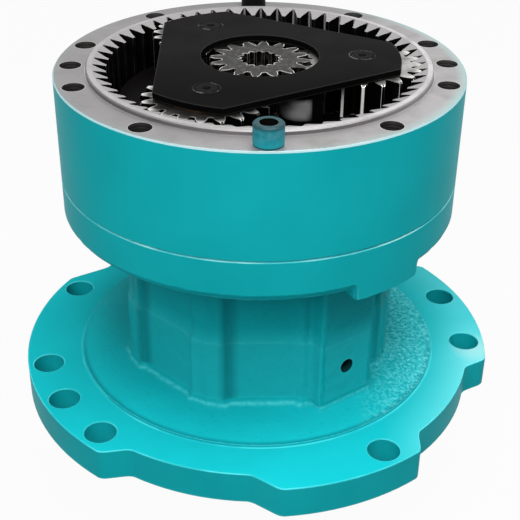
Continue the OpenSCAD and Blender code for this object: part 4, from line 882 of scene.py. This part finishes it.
pin_edge = [(0, pin_foot), (pin_r - 0.001, pin_foot), (pin_r, pin_foot + 0.001), (pin_r, pin_step),
            (pin_end_r, pin_step), (pin_end_r, pin_top - 0.0002), (pin_end_r - 0.0002, pin_top),
            (stake_ring[2], pin_top), (stake_ring[1], pin_top - 0.0006), (stake_ring[0], pin_top),
            (centre_r + 0.0014, pin_top), (centre_r, pin_top - 0.0014), (centre_r, pin_top - 0.012),
            (0, pin_top - 0.0135)]
pin = turned("planet_pin_a", pin_edge, 72)
pin.location.x = orbit_r
settle(pin)
pin.data.materials.append(material)
bpy.ops.object.shade_smooth_by_angle(angle=math.radians(30))
pins = [pin, pin.copy(), pin.copy()]
for turned_pin in pins[1:]:
    turned_pin.data = pin.data.copy()
    bpy.context.scene.collection.objects.link(turned_pin)
for turned_pin, (letter, angle, *_) in zip(pins, planet_looks):
    turned_pin.name = "planet_pin_" + letter
    turned_pin.rotation_euler.z = angle
    settle(turned_pin)
    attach(turned_pin, "carrier_1_unit")
    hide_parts("planet_pins_1")


# Carrier plate
# A three-cornered steel plate that ties the first carrier's posts and pins. Its corners are turned
# round, its edges are broken by 0.6 mm, and it is blacked and dull.
plate_corner_r = 0.1118
plate_top_z = 0.296
plate = merged_copy("carrier_plate_1", "black_carrier_plate")
carve(plate, prism(plate_corner_r, plate_top_z - 0.026, plate_top_z + 0.004, 256), "INTERSECT")
apply_modifier(plate, "BEVEL", width=0.0006, segments=2, limit_method="ANGLE",
               angle_limit=math.radians(50))
select_only(plate)
bpy.ops.object.shade_smooth_by_angle(angle=math.radians(35))
apply_modifier(plate, "WEIGHTED_NORMAL", keep_sharp=True)

# Blacked plate: almost black, matt, clouded over 30 mm and finely scratched, greyer at its edges
material, tree = empty_material("dull_black_oxide")
place = add(tree, "TexCoord").outputs["Object"]
cloud = add(tree, "TexNoise", {"Vector": place, "Scale": 1 / 0.030, "Detail": 4})
speck = add(tree, "TexNoise", {"Vector": place, "Scale": 1 / 0.0012, "Detail": 2})
tone = add(tree, "Mix", {0: cloud, 6: linear("#0F0E0E"), 7: linear("#1B1A1A")}, data_type="RGBA")
# It is darker towards its front corner and on its sides
at = add(tree, "SeparateXYZ", {0: place}).outputs
darker_front_and_sides = add(tree, "MapRange", {"Value": at["Y"], "From Min": 0.030, "From Max": -0.080, "To Max": 0.75})
sides = add(tree, "Math", {0: at["Z"], 1: plate_top_z - 0.0007}, operation="LESS_THAN")
darker_front_and_sides = add(tree, "Math", {0: darker_front_and_sides, 1: sides}, operation="MAXIMUM")
tone = add(tree, "Mix", {0: darker_front_and_sides, 6: tone, 7: linear("#060606")}, data_type="RGBA")
worn = at_corner(tree, 0.0010, 0.84, 0.62, 0.2)
tone = add(tree, "Mix", {0: worn, 6: tone, 7: linear("#5C5A58")}, data_type="RGBA")
bump = add(tree, "Bump", {"Strength": 0.3, "Distance": 0.00006, "Height": speck})
surface = add(tree, "BsdfPrincipled", {"Base Color": tone, "Roughness": 0.65,
                                       "Specular IOR Level": 0.008, "Normal": bump})
add(tree, "OutputMaterial", {"Surface": surface})
plate.data.materials.clear()
plate.data.materials.append(material)
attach(plate, "carrier_1_unit")
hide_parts("carrier_plate_1")


# First sun gear
# A hobbed and hardened gear on a short hub, splined inside for the motor's shaft. It floats
# between the three planets, dull with oil, and its teeth's corners are bright.
material, tree = empty_material("sun_gear_steel")
place = add(tree, "TexCoord").outputs["Object"]
surface = gear_steel(tree, place, "#121111", "#0D0C0C")
surface.inputs["Metallic"].default_value = 0.7
surface.inputs["Specular IOR Level"].default_value = 0.1
# The oil is thin in patches of some 3 mm, where brown steel shows through
mottle = add(tree, "TexNoise", {"Vector": place, "Scale": 1 / 0.003, "Detail": 4})
worn = add(tree, "MapRange", {"Value": mottle, "From Min": 0.50, "From Max": 0.66, "To Max": 0.5})
laid_over(tree, surface, worn, "#5A5552")
add(tree, "OutputMaterial", {"Surface": surface})
dress(material, "sun_gear_1")
